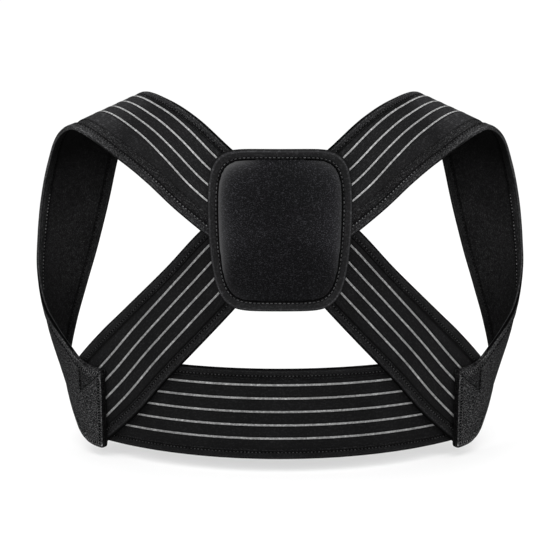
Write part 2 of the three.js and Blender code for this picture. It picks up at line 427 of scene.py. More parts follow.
def lay_strip(name, place, stations, profile, width, shape, hems=PLAIN_HEMS):
    """Moves every point of a flat grid to its place on a strap, joins the grid into a tube and closes it."""
    bm = bmesh.new()
    columns = len(stations) - 1
    rows = len(profile)
    bmesh.ops.create_grid(bm, x_segments=columns, y_segments=rows, size=0.5)
    cloth = bm.loops.layers.uv.new("Cloth")
    hem = bm.loops.layers.uv.new("Hem")
    seats = {}
    for vert in bm.verts:
        seats[vert] = (round((vert.co.x + 0.5) * columns), round((vert.co.y + 0.5) * rows))
    for face in bm.faces:
        face.smooth = True
        first_row = min(seats[vert][1] for vert in face.verts)
        face.material_index = profile[first_row].finish
        for loop in face.loops:
            column, row = seats[loop.vert]
            point = profile[row % rows]
            folded_back = row == rows or point.finish == INSIDE
            unrolled = 2 * width - point.across if folded_back else point.across
            loop[cloth].uv = (stations[column].distance * MM, unrolled * MM)
            hem_scale = hems[point.finish]
            from_edge = min(point.across / hem_scale.low, (width - point.across) / hem_scale.high)
            to_end = stations[-1].distance - stations[column].distance
            loop[hem].uv = (to_end * MM, from_edge * MM)
    for vert, (column, row) in seats.items():
        station = stations[column]
        across, height = shape(station, profile[row % rows])
        vert.co = place(station.along, across / width, height) * MM
    bmesh.ops.remove_doubles(bm, verts=bm.verts, dist=MERGE_WITHIN)
    open_rims = [edge for edge in bm.edges if edge.is_boundary]
    bmesh.ops.holes_fill(bm, edges=open_rims, sides=0)
    bmesh.ops.recalc_face_normals(bm, faces=bm.faces)
    return mesh_from(bm, name)


def put_out(name, mesh, materials, node=None):
    """Makes an object of a mesh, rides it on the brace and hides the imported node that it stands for."""
    thing = bpy.data.objects.new(name, mesh)
    for material in materials:
        mesh.materials.append(material)
    scene.collection.objects.link(thing)
    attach(thing, "root")
    if node:
        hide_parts(node)


def mirrored(left_mesh):
    """The same piece on the other side of the middle line, turned right side out again."""
    bm = bmesh.new()
    bm.from_mesh(left_mesh)
    bmesh.ops.scale(bm, vec=(-1.0, 1.0, 1.0), verts=bm.verts)
    bmesh.ops.recalc_face_normals(bm, faces=bm.faces)
    return mesh_from(bm, left_mesh.name.replace("left", "right", 1))


def put_both(pieces):
    """Puts out left pieces and then their mirror images. Names and nodes are given without their side."""
    for side in SIDES:
        for piece in pieces:
            mesh = piece.mesh if side == "left" else mirrored(piece.mesh)
            node = f"{side}_{piece.node}" if piece.node else None
            put_out(f"{side}_{piece.name}", mesh, piece.materials, node)


print("pieces to stand in for:", len(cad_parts))

# %% [markdown]
# ## Finishes
# The whole brace is black, so its cloths differ by grain, lint and painted light and shade, and hardly by
# colour. An image texture would be the usual way. Node groups do it here, because several cloths share the
# same effects: lint, woven ribs, a slow change of tone, the evenly spaced stripes of the elastic and the
# painted shade of a seam.


# %% Small helpers for node trees
def feed(tree, socket, source):
    """Gives an input socket another node's output, or a value of its own."""
    if isinstance(source, bpy.types.NodeSocket):
        tree.links.new(source, socket)
    elif source is not None:
        socket.default_value = source


def add_node(tree, kind, inputs=None, **settings):
    """Adds a node, sets its own properties and then feeds its inputs."""
    node = tree.nodes.new(kind)
    for key, value in settings.items():
        setattr(node, key, value)
    for key, source in (inputs or {}).items():
        feed(tree, node.inputs[key], source)
    return node


def math_node(tree, operation, first, second=None):
    """A Math node whose two inputs are numbers or other nodes' sockets. Returns its output."""
    return add_node(tree, "ShaderNodeMath", {0: first, 1: second}, operation=operation).outputs[0]


def product(tree, *factors):
    """All the factors multiplied together."""
    return reduce(lambda first, second: math_node(tree, "MULTIPLY", first, second), factors)


def step_between(tree, source, low, high, at_low=0.0, at_high=1.0):
    """Changes smoothly from one value at low to another at high."""
    inputs = {"Value": source, "From Min": low, "From Max": high, "To Min": at_low, "To Max": at_high}
    return add_node(tree, "ShaderNodeMapRange", inputs, interpolation_type="SMOOTHSTEP").outputs["Result"]


def faded(tree, source, limits, low, high):
    """A factor that changes from low to high between two lengths given in millimetres."""
    return step_between(tree, source, limits[0] * MM, limits[1] * MM, low, high)


def split(tree, flat_map):
    """Both parts of a flat map: lengths along and across the cloth, or to its end and from its edge."""
    parts = add_node(tree, "ShaderNodeSeparateXYZ", {"Vector": flat_map}).outputs
    return parts["X"], parts["Y"]


def new_group(name, inputs, outputs):
    """An empty shader group with named sockets. An input maps its name to a kind and a first value."""
    tree = bpy.data.node_groups.new(name, "ShaderNodeTree")
    for socket_name, (kind, value) in inputs.items():
        socket = tree.interface.new_socket(socket_name, in_out="INPUT", socket_type=kind)
        if value is not None:
            socket.default_value = value
    for socket_name, kind in outputs.items():
        tree.interface.new_socket(socket_name, in_out="OUTPUT", socket_type=kind)
    return tree, tree.nodes.new("NodeGroupInput"), tree.nodes.new("NodeGroupOutput")


FLOAT = "NodeSocketFloat"
VECTOR = "NodeSocketVector"
print("node helpers ready")

# %% [markdown]
# Lint is what makes heathered cloth look grey and dusty: short pale fibres lying every way. Two noises,
# one fine and one drawn out along the cloth, are cut off high so that only their peaks show.

# %% Group: lint
FIBRE_DRAW = (0.4, 1.0, 1.0)
FIBRE_TURN = (0.0, 0.0, 0.5)
SPECK_PEAKS = (0.54, 0.64)
FIBRE_PEAKS = (0.57, 0.67)
lint, lint_in, lint_out = new_group(
    "Lint",
    {"Cloth": (VECTOR, None), "Grain": (FLOAT, 900.0), "Amount": (FLOAT, 0.5)},
    {"Mask": FLOAT, "Height": FLOAT},
)


def lint_peaks(flat_map, roughness, limits):
    """The peaks of one noise over the cloth."""
    inputs = {"Vector": flat_map, "Scale": lint_in.outputs["Grain"], "Detail": 2.0, "Roughness": roughness}
    flecks = add_node(lint, "ShaderNodeTexNoise", inputs)
    return step_between(lint, flecks.outputs["Fac"], *limits)


lint_cloth = lint_in.outputs["Cloth"]
drawn_inputs = {"Vector": lint_cloth, "Scale": FIBRE_DRAW, "Rotation": FIBRE_TURN}
lint_drawn = add_node(lint, "ShaderNodeMapping", drawn_inputs)
speck_peaks = lint_peaks(lint_cloth, 0.7, SPECK_PEAKS)
fibre_peaks = lint_peaks(lint_drawn.outputs["Vector"], 0.6, FIBRE_PEAKS)
lint_both = math_node(lint, "MAXIMUM", speck_peaks, fibre_peaks)
feed(lint, lint_out.inputs["Mask"], product(lint, lint_both, lint_in.outputs["Amount"]))
feed(lint, lint_out.inputs["Height"], lint_both)
print("group:", lint.name)

# %% [markdown]
# Elastic is woven in fine ribs. Two crossed waves make the ribs; only their height is used, because the
# threads are all one black.

# %% Group: woven ribs
ribs, ribs_in, ribs_out = new_group(
    "Woven ribs",
    {"Cloth": (VECTOR, None), "Along pitch": (FLOAT, 0.0011), "Across pitch": (FLOAT, 0.0009)},
    {"Height": FLOAT},
)


def rib_wave(length, pitch_name):
    """One wave over the cloth, with a pitch that the group is given."""
    turns = math_node(ribs, "DIVIDE", length, ribs_in.outputs[pitch_name])
    return math_node(ribs, "SINE", product(ribs, turns, 2 * math.pi))


rib_along, rib_across = split(ribs, ribs_in.outputs["Cloth"])
crossed = math_node(ribs, "ADD", rib_wave(rib_along, "Along pitch"), rib_wave(rib_across, "Across pitch"))
feed(ribs, ribs_out.inputs["Height"], crossed)
print("group:", ribs.name)

# %% [markdown]
# No cloth is one even tone. A slow noise changes it by a few parts in a hundred over some centimetres.

# %% Group: slow tone
tone, tone_in, tone_out = new_group(
    "Slow tone",
    {"Cloth": (VECTOR, None), "Size": (FLOAT, 28.0), "Least": (FLOAT, 0.8), "Most": (FLOAT, 1.2)},
    {"Factor": FLOAT},
)
tone_grain = {
    "Vector": tone_in.outputs["Cloth"],
    "Scale": tone_in.outputs["Size"],
    "Detail": 3.0,
    "Roughness": 0.55,
}
tone_noise = add_node(tone, "ShaderNodeTexNoise", tone_grain)
tone_limits = {
    "Value": tone_noise.outputs["Fac"],
    "From Min": 0.3,
    "From Max": 0.7,
    "To Min": tone_in.outputs["Least"],
    "To Max": tone_in.outputs["Most"],
}
tone_range = add_node(tone, "ShaderNodeMapRange", tone_limits)
feed(tone, tone_out.inputs["Factor"], tone_range.outputs["Result"])
print("group:", tone.name)

# %% [markdown]
# The stripes are grey threads woven into the elastic at one pitch. The distance to the nearest stripe is
# worked out from the cloth's own width, so the stripes run true along every bend.

# %% Group: stripes
STRIPE_EDGE = (0.4, 0.58)
# The second mask marks painted shade on both sides of each stripe.
STRIPE_SHADE_EDGE = (0.75, 1.15)
stripes, stripes_in, stripes_out = new_group(
    "Grey stripes",
    {
        "Cloth": (VECTOR, None),
        "First": (FLOAT, 0.0155),
        "Pitch": (FLOAT, 0.0121),
        "Last": (FLOAT, 3.0),
        "Width": (FLOAT, STRIPE_WIDTH * MM),
    },
    {"Mask": FLOAT, "Stripe shade": FLOAT},
)
_, stripes_across = split(stripes, stripes_in.outputs["Cloth"])
from_first = math_node(stripes, "SUBTRACT", stripes_across, stripes_in.outputs["First"])
in_pitches = math_node(stripes, "DIVIDE", from_first, stripes_in.outputs["Pitch"])
nearest_raw = math_node(stripes, "ROUND", in_pitches)
nearest_low = math_node(stripes, "MAXIMUM", nearest_raw, 0.0)
nearest = math_node(stripes, "MINIMUM", nearest_low, stripes_in.outputs["Last"])
off_pitches = math_node(stripes, "ABSOLUTE", math_node(stripes, "SUBTRACT", in_pitches, nearest))
off_stripe = product(stripes, off_pitches, stripes_in.outputs["Pitch"])
in_widths = math_node(stripes, "DIVIDE", off_stripe, stripes_in.outputs["Width"])
for mask_name, limits in (("Mask", STRIPE_EDGE), ("Stripe shade", STRIPE_SHADE_EDGE)):
    feed(stripes, stripes_out.inputs[mask_name], step_between(stripes, in_widths, *limits, 1.0, 0.0))
print("group:", stripes.name)

# %% [markdown]
# A row of stitches pulls the cloth into a narrow valley, and the folded hem ends just inside it. The valley
# is in the mesh; this group paints shade along a line at a given distance from the cloth's edge. With a least
# value above one it paints a highlight there instead.

# %% Group: seam shade
# Painted shade along a line, or a painted highlight when Least is above one.
seam, seam_in, seam_out = new_group(
    "Seam shade",
    {
        "Cloth": (VECTOR, None),
        "Inset": (FLOAT, 0.0079),
        "Half width": (FLOAT, 0.0012),
        "Least": (FLOAT, 0.05),
    },
    {"Factor": FLOAT},
)
_, seam_across = split(seam, seam_in.outputs["Cloth"])
seam_off = math_node(seam, "SUBTRACT", seam_across, seam_in.outputs["Inset"])
seam_share = math_node(seam, "DIVIDE", math_node(seam, "ABSOLUTE", seam_off), seam_in.outputs["Half width"])
seam_limits = {
    "Value": seam_share,
    "From Min": 0.3,
    "From Max": 1.0,
    "To Min": seam_in.outputs["Least"],
    "To Max": 1.0,
}
seam_range = add_node(seam, "ShaderNodeMapRange", seam_limits)
feed(seam, seam_out.inputs["Factor"], seam_range.outputs["Result"])
print("group:", seam.name)

# %% [markdown]
# Each material starts from the same shader: rough, with a low specular level because black cloth hardly
# shines. The groups then drive its colour and its bump. A strap reads the flat maps that were stored when it
# was laid. The plate and the threads have no such map and read their own coordinates.

# %% Material start
# The Mix node has several sockets of one name, so those for colours are taken by number.
MIX_FIRST = 6
MIX_SECOND = 7
MIX_RESULT = 2


def start_cloth(name, roughness, specular):
    """A material with a cloth shader. Returns the material, its node tree and its shader."""
    material = bpy.data.materials.new(name)
    material.use_nodes = True
    tree = material.node_tree
    shader = tree.nodes["Principled BSDF"]
    shader.inputs["Roughness"].default_value = roughness
    shader.inputs["Specular IOR Level"].default_value = specular
    return material, tree, shader


def flat_map(tree, map_name):
    """A flat map of a strap: Cloth or Hem."""
    return add_node(tree, "ShaderNodeUVMap", uv_map=map_name).outputs["UV"]


def object_map(tree):
    """The piece's own coordinates, for cloth that was cut and stuffed and has no flat map."""
    return add_node(tree, "ShaderNodeTexCoord").outputs["Object"]


def stored(tree, attribute_name):
    """A value that the mesh keeps at each of its points."""
    return add_node(tree, "ShaderNodeAttribute", attribute_name=attribute_name).outputs["Fac"]


def place_group(tree, group, cloth, **inputs):
    """Places a shared group, and feeds it the cloth coordinates and its other inputs by name."""
    node = add_node(tree, "ShaderNodeGroup", node_tree=group)
    feed(tree, node.inputs["Cloth"], cloth)
    for key, source in inputs.items():
        feed(tree, node.inputs[key.replace("_", " ").capitalize()], source)
    return node


def mix_colours(tree, factor, first, second):
    """Mixes two colours, each given as three numbers or as another node's socket."""
    node = add_node(tree, "ShaderNodeMix", {"Factor": factor}, data_type="RGBA")
    for key, source in ((MIX_FIRST, first), (MIX_SECOND, second)):
        is_socket = isinstance(source, bpy.types.NodeSocket)
        feed(tree, node.inputs[key], source if is_socket else (*source, 1.0))
    return node.outputs[MIX_RESULT]


def scale_colour(tree, factor, colour):
    """Brightens or darkens a colour by a factor that changes over the cloth."""
    return add_node(tree, "ShaderNodeVectorMath", {0: colour, "Scale": factor}, operation="SCALE").outputs[0]


def paint(tree, shader, colour, factor):
    """Gives the shader a colour, brightened or darkened by a factor."""
    feed(tree, shader.inputs["Base Color"], scale_colour(tree, factor, colour))


def bump(tree, shader, height, relief, strength=1.0, below=None):
    """Puts a bump with a relief in millimetres on the shader, over another bump where one is given."""
    inputs = {"Height": height, "Distance": relief * MM, "Strength": strength, "Normal": below}
    node = add_node(tree, "ShaderNodeBump", inputs)
    feed(tree, shader.inputs["Normal"], node.outputs["Normal"])
    return node.outputs["Normal"]


print("material helpers ready")

# %% [markdown]
# The base straps are black cloth flecked with pale lint. Flat grey paint would look like plastic, so the
# flecks come from the lint group, over a slow and a quicker change of tone. The hems are smoother than the
# middle. Painted shade darkens the line where each hem's fold ends and the cloth's very edge, and a painted
# highlight lies just inside the edge.

# %% Heathered cloth
Finish = namedtuple("Finish", "material tree shader across to_end fluff dust seams rim toned")
# Seam_half and seam_tone size the painted shade along the seams.
ClothLook = namedtuple("ClothLook", "field_lint hem_lint hem_tone mottle seam_half seam_tone")
GRAIN = 1000.0
MOTTLE_SIZE = 220.0
CLOTH_PITCH = 1.3
CLOTH_RELIEF = 0.08
LINT_RELIEF = 0.2
HEM_STITCH = 6.7
HEM_LIMITS = (HEM_STITCH + 0.2, HEM_STITCH + 0.9)
# Painted shade at the cloth's edge, and a painted highlight just inside it.
EDGE_SHADE = 2.4
EDGE_SHADE_TONE = 0.03
EDGE_HIGHLIGHT_INSET = 2.2
EDGE_HIGHLIGHT_HALF = 1.0
EDGE_HIGHLIGHT_TONE = 1.6


def heathered_cloth(name, colours, look):
    """Black cloth with pale lint, hems of another tone, and painted shade and highlight along its edges and
    seams.
    """
    material, tree, shader = start_cloth(name, roughness=0.9, specular=0.03)
    cloth = flat_map(tree, "Cloth")
    hem_map = flat_map(tree, "Hem")
    _, across = split(tree, cloth)
    to_end, from_edge = split(tree, hem_map)
    dust = faded(tree, from_edge, HEM_LIMITS, look.hem_lint, look.field_lint)
    smooth = faded(tree, from_edge, HEM_LIMITS, look.hem_tone, 1.0)
    fluff = place_group(tree, lint, cloth, grain=GRAIN, amount=dust)
    shade = place_group(tree, tone, cloth)
    spots = place_group(tree, tone, cloth, size=MOTTLE_SIZE, least=1 - look.mottle, most=1 + look.mottle)
    # Painted shade where each hem ends, a painted highlight inside the edge, and painted shade on the edge.
    valley = place_group(tree, seam, hem_map, half_width=look.seam_half * MM, least=look.seam_tone)
    worn = place_group(tree, seam, hem_map, inset=EDGE_HIGHLIGHT_INSET * MM, half_width=EDGE_HIGHLIGHT_HALF * MM, least=EDGE_HIGHLIGHT_TONE)
    edge = place_group(tree, seam, hem_map, inset=0.0, half_width=EDGE_SHADE * MM, least=EDGE_SHADE_TONE)
    weave = place_group(tree, ribs, cloth, along_pitch=CLOTH_PITCH * MM, across_pitch=CLOTH_PITCH * MM)
    colour = mix_colours(tree, fluff.outputs["Mask"], *colours)
    toned = scale_colour(tree, product(tree, shade.outputs["Factor"], spots.outputs["Factor"]), colour)
    # Seams: painted shade with the hems' tone. Rim: the edge's painted shade and painted highlight.
    seams = product(tree, valley.outputs["Factor"], smooth)
    rim = product(tree, worn.outputs["Factor"], edge.outputs["Factor"])
    paint(tree, shader, toned, product(tree, seams, rim))
    below = bump(tree, shader, weave.outputs["Height"], CLOTH_RELIEF)
    bump(tree, shader, fluff.outputs["Height"], LINT_RELIEF, 0.8, below)
    return Finish(material, tree, shader, across, to_end, fluff, dust, seams, rim, toned)


# Each pair is the plain cloth and its lint.
BAND_COLOURS = [(0.0062, 0.0062, 0.0065), (0.13, 0.13, 0.132)]
BELT_LOOK = ClothLook(0.2, 0.1, 0.85, 0.1, 1.2, 0.35)
BACK_LOOK = ClothLook(0.25, 0.12, 1.0, 0.2, 1.2, 0.5)
BELT_CLOTH = heathered_cloth("belt_cloth", BAND_COLOURS, BELT_LOOK).material
BACK_CLOTH = heathered_cloth("back_cloth", BAND_COLOURS, BACK_LOOK).material
print("materials:", BELT_CLOTH.name, BACK_CLOTH.name)

# %% [markdown]
# The loop needs two more finishes of the same cloth. Its outer face gets a painted highlight over the
# shoulder's crest, and more lint away from the plate and towards its sewn end as painted light. Its sewn end
# has painted shade in two creases that meet in its middle, a painted highlight along the fold and painted
# shade on the nose behind it. Its lining is smoother, with painted shade up at the shoulder and down where
# the loop closes, and a painted highlight on the rolled edge along the arm. The belt and the back straps have
# the same lining without those marks.

# %% Loop cloth and lining
# More lint is painted light: away from the plate and towards the sewn end, where the cloth faces the light.
END_LINT = 0.8
SHOULDER_LINT = 0.28
SHOULDER_LINT_REACH = (455.0, 525.0)
END_LINT_REACH = (130.0, 30.0)
PRESS_TO_END = (52.0, 30.0)
# Where the end is pressed flat, the painted shade of the seams and the edge is lifted.
PRESSED_RIM = 0.8
# A painted highlight along the fold.
FOLD_HIGHLIGHT = (3.6, 2.8)
FOLD_HIGHLIGHT_TONE = 1.8
# Painted shade on the nose behind the fold.
NOSE_SHADE = (2.2, 1.6)
NOSE_SHADE_TONE = 0.06
# Lengths to the end between which painted shade darkens the lining, and to what share.
LINING_SHADES = [((215.0, 310.0), 0.12), ((190.0, 130.0), 0.6)]
# The lining's flat map starts at the arm edge, a strap's width from the outer face's own start.
ARM_RIM = (78.0, 79.0)
# A painted highlight on the lining's rolled arm edge.
ARM_RIM_HIGHLIGHT = 3.2
# The crest's place and reach, the strength of its painted highlight, and the arm side where the edge's
# painted shade is lifted.
CREST_TO_END = 368.0
CREST_REACH = 45.0
CREST_HIGHLIGHT = 1.8
ARM_SIDE = (30.0, 50.0)
Crease = namedtuple("Crease", "foot lean reach depth head")
CREASES = [
    # millimetres to the end at the foot, lean over each millimetre of width, half width, painted shade, faded
    # by
    Crease(35.5, 0.05, 3.4, 0.75, 80.0),
    Crease(35.5, -1.15, 1.9, 0.75, 120.0),
]
CREASE_FOOT = 45.0
CREASE_START = (CREASE_FOOT - 3.0, CREASE_FOOT + 2.0)
CREASE_FULL = CREASE_FOOT + 10.0
CREASE_CORE = 0.3
# Painted shade on the facet between the two creases.
CREASE_FACET = 0.35
FACET_EDGE = 1.5


def near_crest(tree, place, crest, there, elsewhere):
    """One value at a crest and another away from it: place and crest are lengths along the strap."""
    off = math_node(tree, "ABSOLUTE", math_node(tree, "SUBTRACT", place, crest * MM))
    return faded(tree, off, (0.0, CREST_REACH), there, elsewhere)


def crease_off(finish, crease):
    """How far a place is from a crease, along the strap: more than 0 on the side away from the end."""
    tree = finish.tree
    from_foot = math_node(tree, "SUBTRACT", finish.across, CREASE_FOOT * MM)
    line = math_node(tree, "ADD", product(tree, from_foot, crease.lean), crease.foot * MM)
    return math_node(tree, "SUBTRACT", finish.to_end, line)


def crease_shades(finish):
    """Factors of painted shade in both creases of a sewn end, from its middle to its top, and on the facet
    between.
    """
    tree = finish.tree
    above_foot = faded(tree, finish.across, CREASE_START, 0.0, 1.0)
    sides = [crease_off(finish, crease) for crease in CREASES]
    painted_shades = []
    for crease, side in zip(CREASES, sides):
        off = math_node(tree, "ABSOLUTE", side)
        depth = faded(tree, off, (CREASE_CORE, crease.reach), crease.depth, 0.0)
        below_head = faded(tree, finish.across, (CREASE_FULL, crease.head), 1.0, 0.0)
        painted_shades.append(product(tree, depth, below_head))
    before_first = faded(tree, sides[0], (0.0, -FACET_EDGE), 0.0, CREASE_FACET)
    after_second = faded(tree, sides[1], (0.0, FACET_EDGE), 0.0, 1.0)
    painted_shades.append(product(tree, before_first, after_second))
    return [math_node(tree, "SUBTRACT", 1.0, product(tree, depth, above_foot)) for depth in painted_shades]


def loop_light_and_shade(finish):
    """Paints light and shade on a loop: more lint, highlights on crest and fold, shade in creases and on the
    nose.
    """
    tree = finish.tree
    end_light_lint = faded(tree, finish.to_end, END_LINT_REACH, 0.0, END_LINT)
    shoulder_light_lint = faded(tree, finish.to_end, SHOULDER_LINT_REACH, SHOULDER_LINT, 0.0)
    dust = math_node(tree, "MAXIMUM", finish.dust, math_node(tree, "MAXIMUM", end_light_lint, shoulder_light_lint))
    feed(tree, finish.fluff.inputs["Amount"], dust)
    pressed = faded(tree, finish.to_end, PRESS_TO_END, 0.0, 1.0)
    pressed_rim = math_node(tree, "MAXIMUM", finish.rim, product(tree, pressed, PRESSED_RIM))
    arm_side = faded(tree, finish.across, ARM_SIDE, 0.0, 1.0)
    at_crest = near_crest(tree, finish.to_end, CREST_TO_END, 1.0, 0.0)
    # Painted shade and highlights: seams, edge, fold highlight, nose shade and crest highlight.
    factors = [
        math_node(tree, "MAXIMUM", finish.seams, pressed),
        math_node(tree, "MAXIMUM", pressed_rim, product(tree, arm_side, at_crest)),
        faded(tree, finish.to_end, FOLD_HIGHLIGHT, 1.0, FOLD_HIGHLIGHT_TONE),
        faded(tree, finish.to_end, NOSE_SHADE, 1.0, NOSE_SHADE_TONE),
        near_crest(tree, finish.to_end, CREST_TO_END, CREST_HIGHLIGHT, 1.0),
    ]
    paint(tree, finish.shader, finish.toned, product(tree, *factors, *crease_shades(finish)))
    return finish.material


def lining_light_and_shade(finish):
    """Paints shade on a lining up at the shoulder and down where the loop closes, and a highlight on its arm
    edge.
    """
    tree = finish.tree
    shades = [faded(tree, finish.to_end, limits, 1.0, least) for limits, least in LINING_SHADES]
    darkened = product(tree, finish.seams, finish.rim, *shades)
    # The rolled arm edge keeps its painted highlight.
    rolled = faded(tree, finish.across, ARM_RIM, ARM_RIM_HIGHLIGHT, 0.0)
    paint(tree, finish.shader, finish.toned, math_node(tree, "MAXIMUM", darkened, rolled))
    return finish.material


LINING_COLOURS = [(0.006, 0.006, 0.0062), (0.06, 0.06, 0.061)]
LOOP_LOOK = ClothLook(0.25, 0.22, 1.5, 0.25, 0.8, 0.3)
LINING_LOOK = ClothLook(0.4, 0.3, 1.3, 0.4, 1.0, 0.4)
LOOP_CLOTH = loop_light_and_shade(heathered_cloth("loop_cloth", BAND_COLOURS, LOOP_LOOK))
LOOP_LINING = lining_light_and_shade(heathered_cloth("loop_lining", LINING_COLOURS, LINING_LOOK))
BAND_LINING = heathered_cloth("band_lining", LINING_COLOURS, LINING_LOOK).material
print("materials:", LOOP_CLOTH.name, LOOP_LINING.name, BAND_LINING.name)

# %% [markdown]
# The elastic is black, ribbed and striped. Each stripe could be a cord of its own, but it is woven in, so
# the stripes group colours it and the mesh is only raised a little there. Beside each stripe painted shade
# darkens the weave, and along the webbing's edges painted shade darkens it too. On the loops a painted
# highlight lies on the elastic over the shoulder's crest.

# %% Elastic webbing with grey stripes
# Painted shade along a webbing's edges: its half width and its darkest tone.
EdgeLine = namedtuple("EdgeLine", "half_width tone")
# Each pair is the plain thread and its fluffy parts.
ELASTIC_BLACKS = [(0.0062, 0.0062, 0.0065), (0.03, 0.03, 0.031)]
ELASTIC_THREADS = [(0.2, 0.2, 0.2), (0.34, 0.34, 0.34)]
ELASTIC_RELIEF = 0.12
# Strength of the painted highlight on the loops' elastic over the shoulder's crest.
ELASTIC_CREST_HIGHLIGHT = 2.4
# Strength of the painted shade beside each stripe.
STRIPE_SHADE_STRENGTH = 0.85


def levelled(level, colours):
    """The same colours, brightened or darkened by one level."""
    return [[level * part for part in colour] for colour in colours]


def elastic(name, lanes, black_level, thread_level, edges=(), edge_line=None, stripe_share=1.0, crest=None):
    """Black ribbed elastic with evenly spaced grey stripes. Levels scale the black and the grey threads."""
    material, tree, shader = start_cloth(name, roughness=0.8, specular=0.04)
    cloth = flat_map(tree, "Cloth")
    first = lanes[0] * MM
    pitch = (lanes[1] - lanes[0]) * MM
    width = STRIPE_WIDTH * stripe_share * MM
    grey = place_group(tree, stripes, cloth, first=first, pitch=pitch, last=len(lanes) - 1.0, width=width)
    shade = place_group(tree, tone, cloth)
    twist = place_group(tree, tone, cloth, size=320.0, least=0.7, most=1.35)
    weave = place_group(tree, ribs, cloth)
    fluff = place_group(tree, lint, cloth, grain=600.0, amount=0.3)
    black = mix_colours(tree, fluff.outputs["Mask"], *levelled(black_level, ELASTIC_BLACKS))
    # A painted highlight over the crest.
    if crest is not None:
        along, _ = split(tree, cloth)
        black = scale_colour(tree, near_crest(tree, along, crest, ELASTIC_CREST_HIGHLIGHT, 1.0), black)
    # Painted shade beside each stripe.
    stripe_shaded = math_node(tree, "SUBTRACT", 1.0, product(tree, grey.outputs["Stripe shade"], STRIPE_SHADE_STRENGTH))
    thread = mix_colours(tree, fluff.outputs["Height"], *levelled(thread_level, ELASTIC_THREADS))
    twisted = scale_colour(tree, twist.outputs["Factor"], thread)
    colour = mix_colours(tree, grey.outputs["Mask"], scale_colour(tree, stripe_shaded, black), twisted)
    factor = shade.outputs["Factor"]
    # Painted shade along the webbing's edges.
    for edge in edges:
        half = edge_line.half_width * MM
        line = place_group(tree, seam, cloth, inset=edge * MM, half_width=half, least=edge_line.tone)
        factor = product(tree, factor, line.outputs["Factor"])
    paint(tree, shader, colour, factor)
    bump(tree, shader, weave.outputs["Height"], ELASTIC_RELIEF)
    return material


LOOP_WEBBING = (8.3, 59.5)
BACK_WEBBING = (10.0, 67.0)
CREST_FROM_PLATE = 208.0
STRIPE_PITCH = 12.1
SHOULDER_STRIPES = [13.6 + STRIPE_PITCH * step for step in range(4)]
BACK_STRIPES = [19.0 + STRIPE_PITCH * step for step in range(4)]
WAIST_PITCH = 12.6
WAIST_STRIPES = [20.2 + WAIST_PITCH * step for step in range(5)]
# The loops and the back straps share one webbing. The loops' higher black and thread levels are painted
# light, because that elastic faces up towards the light.
SHOULDER_ELASTIC = elastic(
    "shoulder_elastic",
    SHOULDER_STRIPES,
    black_level=1.42,
    thread_level=1.3,
    edges=LOOP_WEBBING,
    edge_line=EdgeLine(half_width=0.9, tone=0.7),
    stripe_share=0.85,
    crest=CREST_FROM_PLATE,
)
BACK_ELASTIC = elastic(
    "back_elastic",
    BACK_STRIPES,
    black_level=0.85,
    thread_level=0.85,
    edges=BACK_WEBBING,
    edge_line=EdgeLine(half_width=2.4, tone=0.05),
)
WAIST_ELASTIC = elastic("waist_elastic", WAIST_STRIPES, black_level=0.78, thread_level=0.9)
print("materials:", SHOULDER_ELASTIC.name, BACK_ELASTIC.name, WAIST_ELASTIC.name)

# %% [markdown]
# The plate's cloth is finer and blue-black, with painted sheen that makes it paler towards its rim and a
# painted highlight on the rim. The bound border is a smooth tape with painted shade at its edge and a painted
# highlight on its fold. Both read values that their meshes store at each point, because their finish follows
# the outline. Thread is one colour, but no two stitches catch the light alike, so a quick change of tone sets
# them apart. A needle hole is painted shade: painted like thread, but almost black.

# %% Plate cloth, binding tape and thread
PLATE_BLACK = (0.0028, 0.0028, 0.0031)
PLATE_PALE = (0.036, 0.036, 0.04)
# The colour of the painted highlight on the cushion's rim.
PLATE_RIM_HIGHLIGHT = (0.085, 0.085, 0.086)
PLATE_RELIEF = 0.25
TAPE_BLACK = (0.0061, 0.0061, 0.0064)
TAPE_PALE = (0.03, 0.03, 0.0315)
TAPE_RELIEF = 0.2
# Insets from the plate's outline between which the tape changes from one tone to another: painted shade at
# the edge and in the groove, a painted highlight on the fold.
TAPE_EDGE = (0.6, 1.7)
TAPE_FOLD = (1.9, 3.4)
TAPE_GROOVE = (6.9, 7.7)
TAPE_EDGE_SHADE = 0.12
TAPE_FOLD_HIGHLIGHT = 2.7
TAPE_GROOVE_SHADE = 0.3
THREAD_BLUE = 1.02


def plate_cloth():
    """Fine-grained blue-black cloth of the stuffed plate, with painted sheen and a painted highlight towards
    its rim.
    """
    material, tree, shader = start_cloth("plate_cloth", roughness=0.7, specular=0.02)
    cloth = object_map(tree)
    fluff = place_group(tree, lint, cloth, grain=1100.0, amount=0.4)
    shade = place_group(tree, tone, cloth, size=22.0, least=0.88, most=1.12)
    colour = mix_colours(tree, fluff.outputs["Mask"], PLATE_BLACK, PLATE_PALE)
    # Painted sheen towards the rim, then the rim's painted highlight mixed in.
    with_sheen = scale_colour(tree, product(tree, shade.outputs["Factor"], stored(tree, "painted_sheen")), colour)
    feed(tree, shader.inputs["Base Color"], mix_colours(tree, stored(tree, "rim"), with_sheen, PLATE_RIM_HIGHLIGHT))
    bump(tree, shader, fluff.outputs["Height"], PLATE_RELIEF, 0.9)
    return material


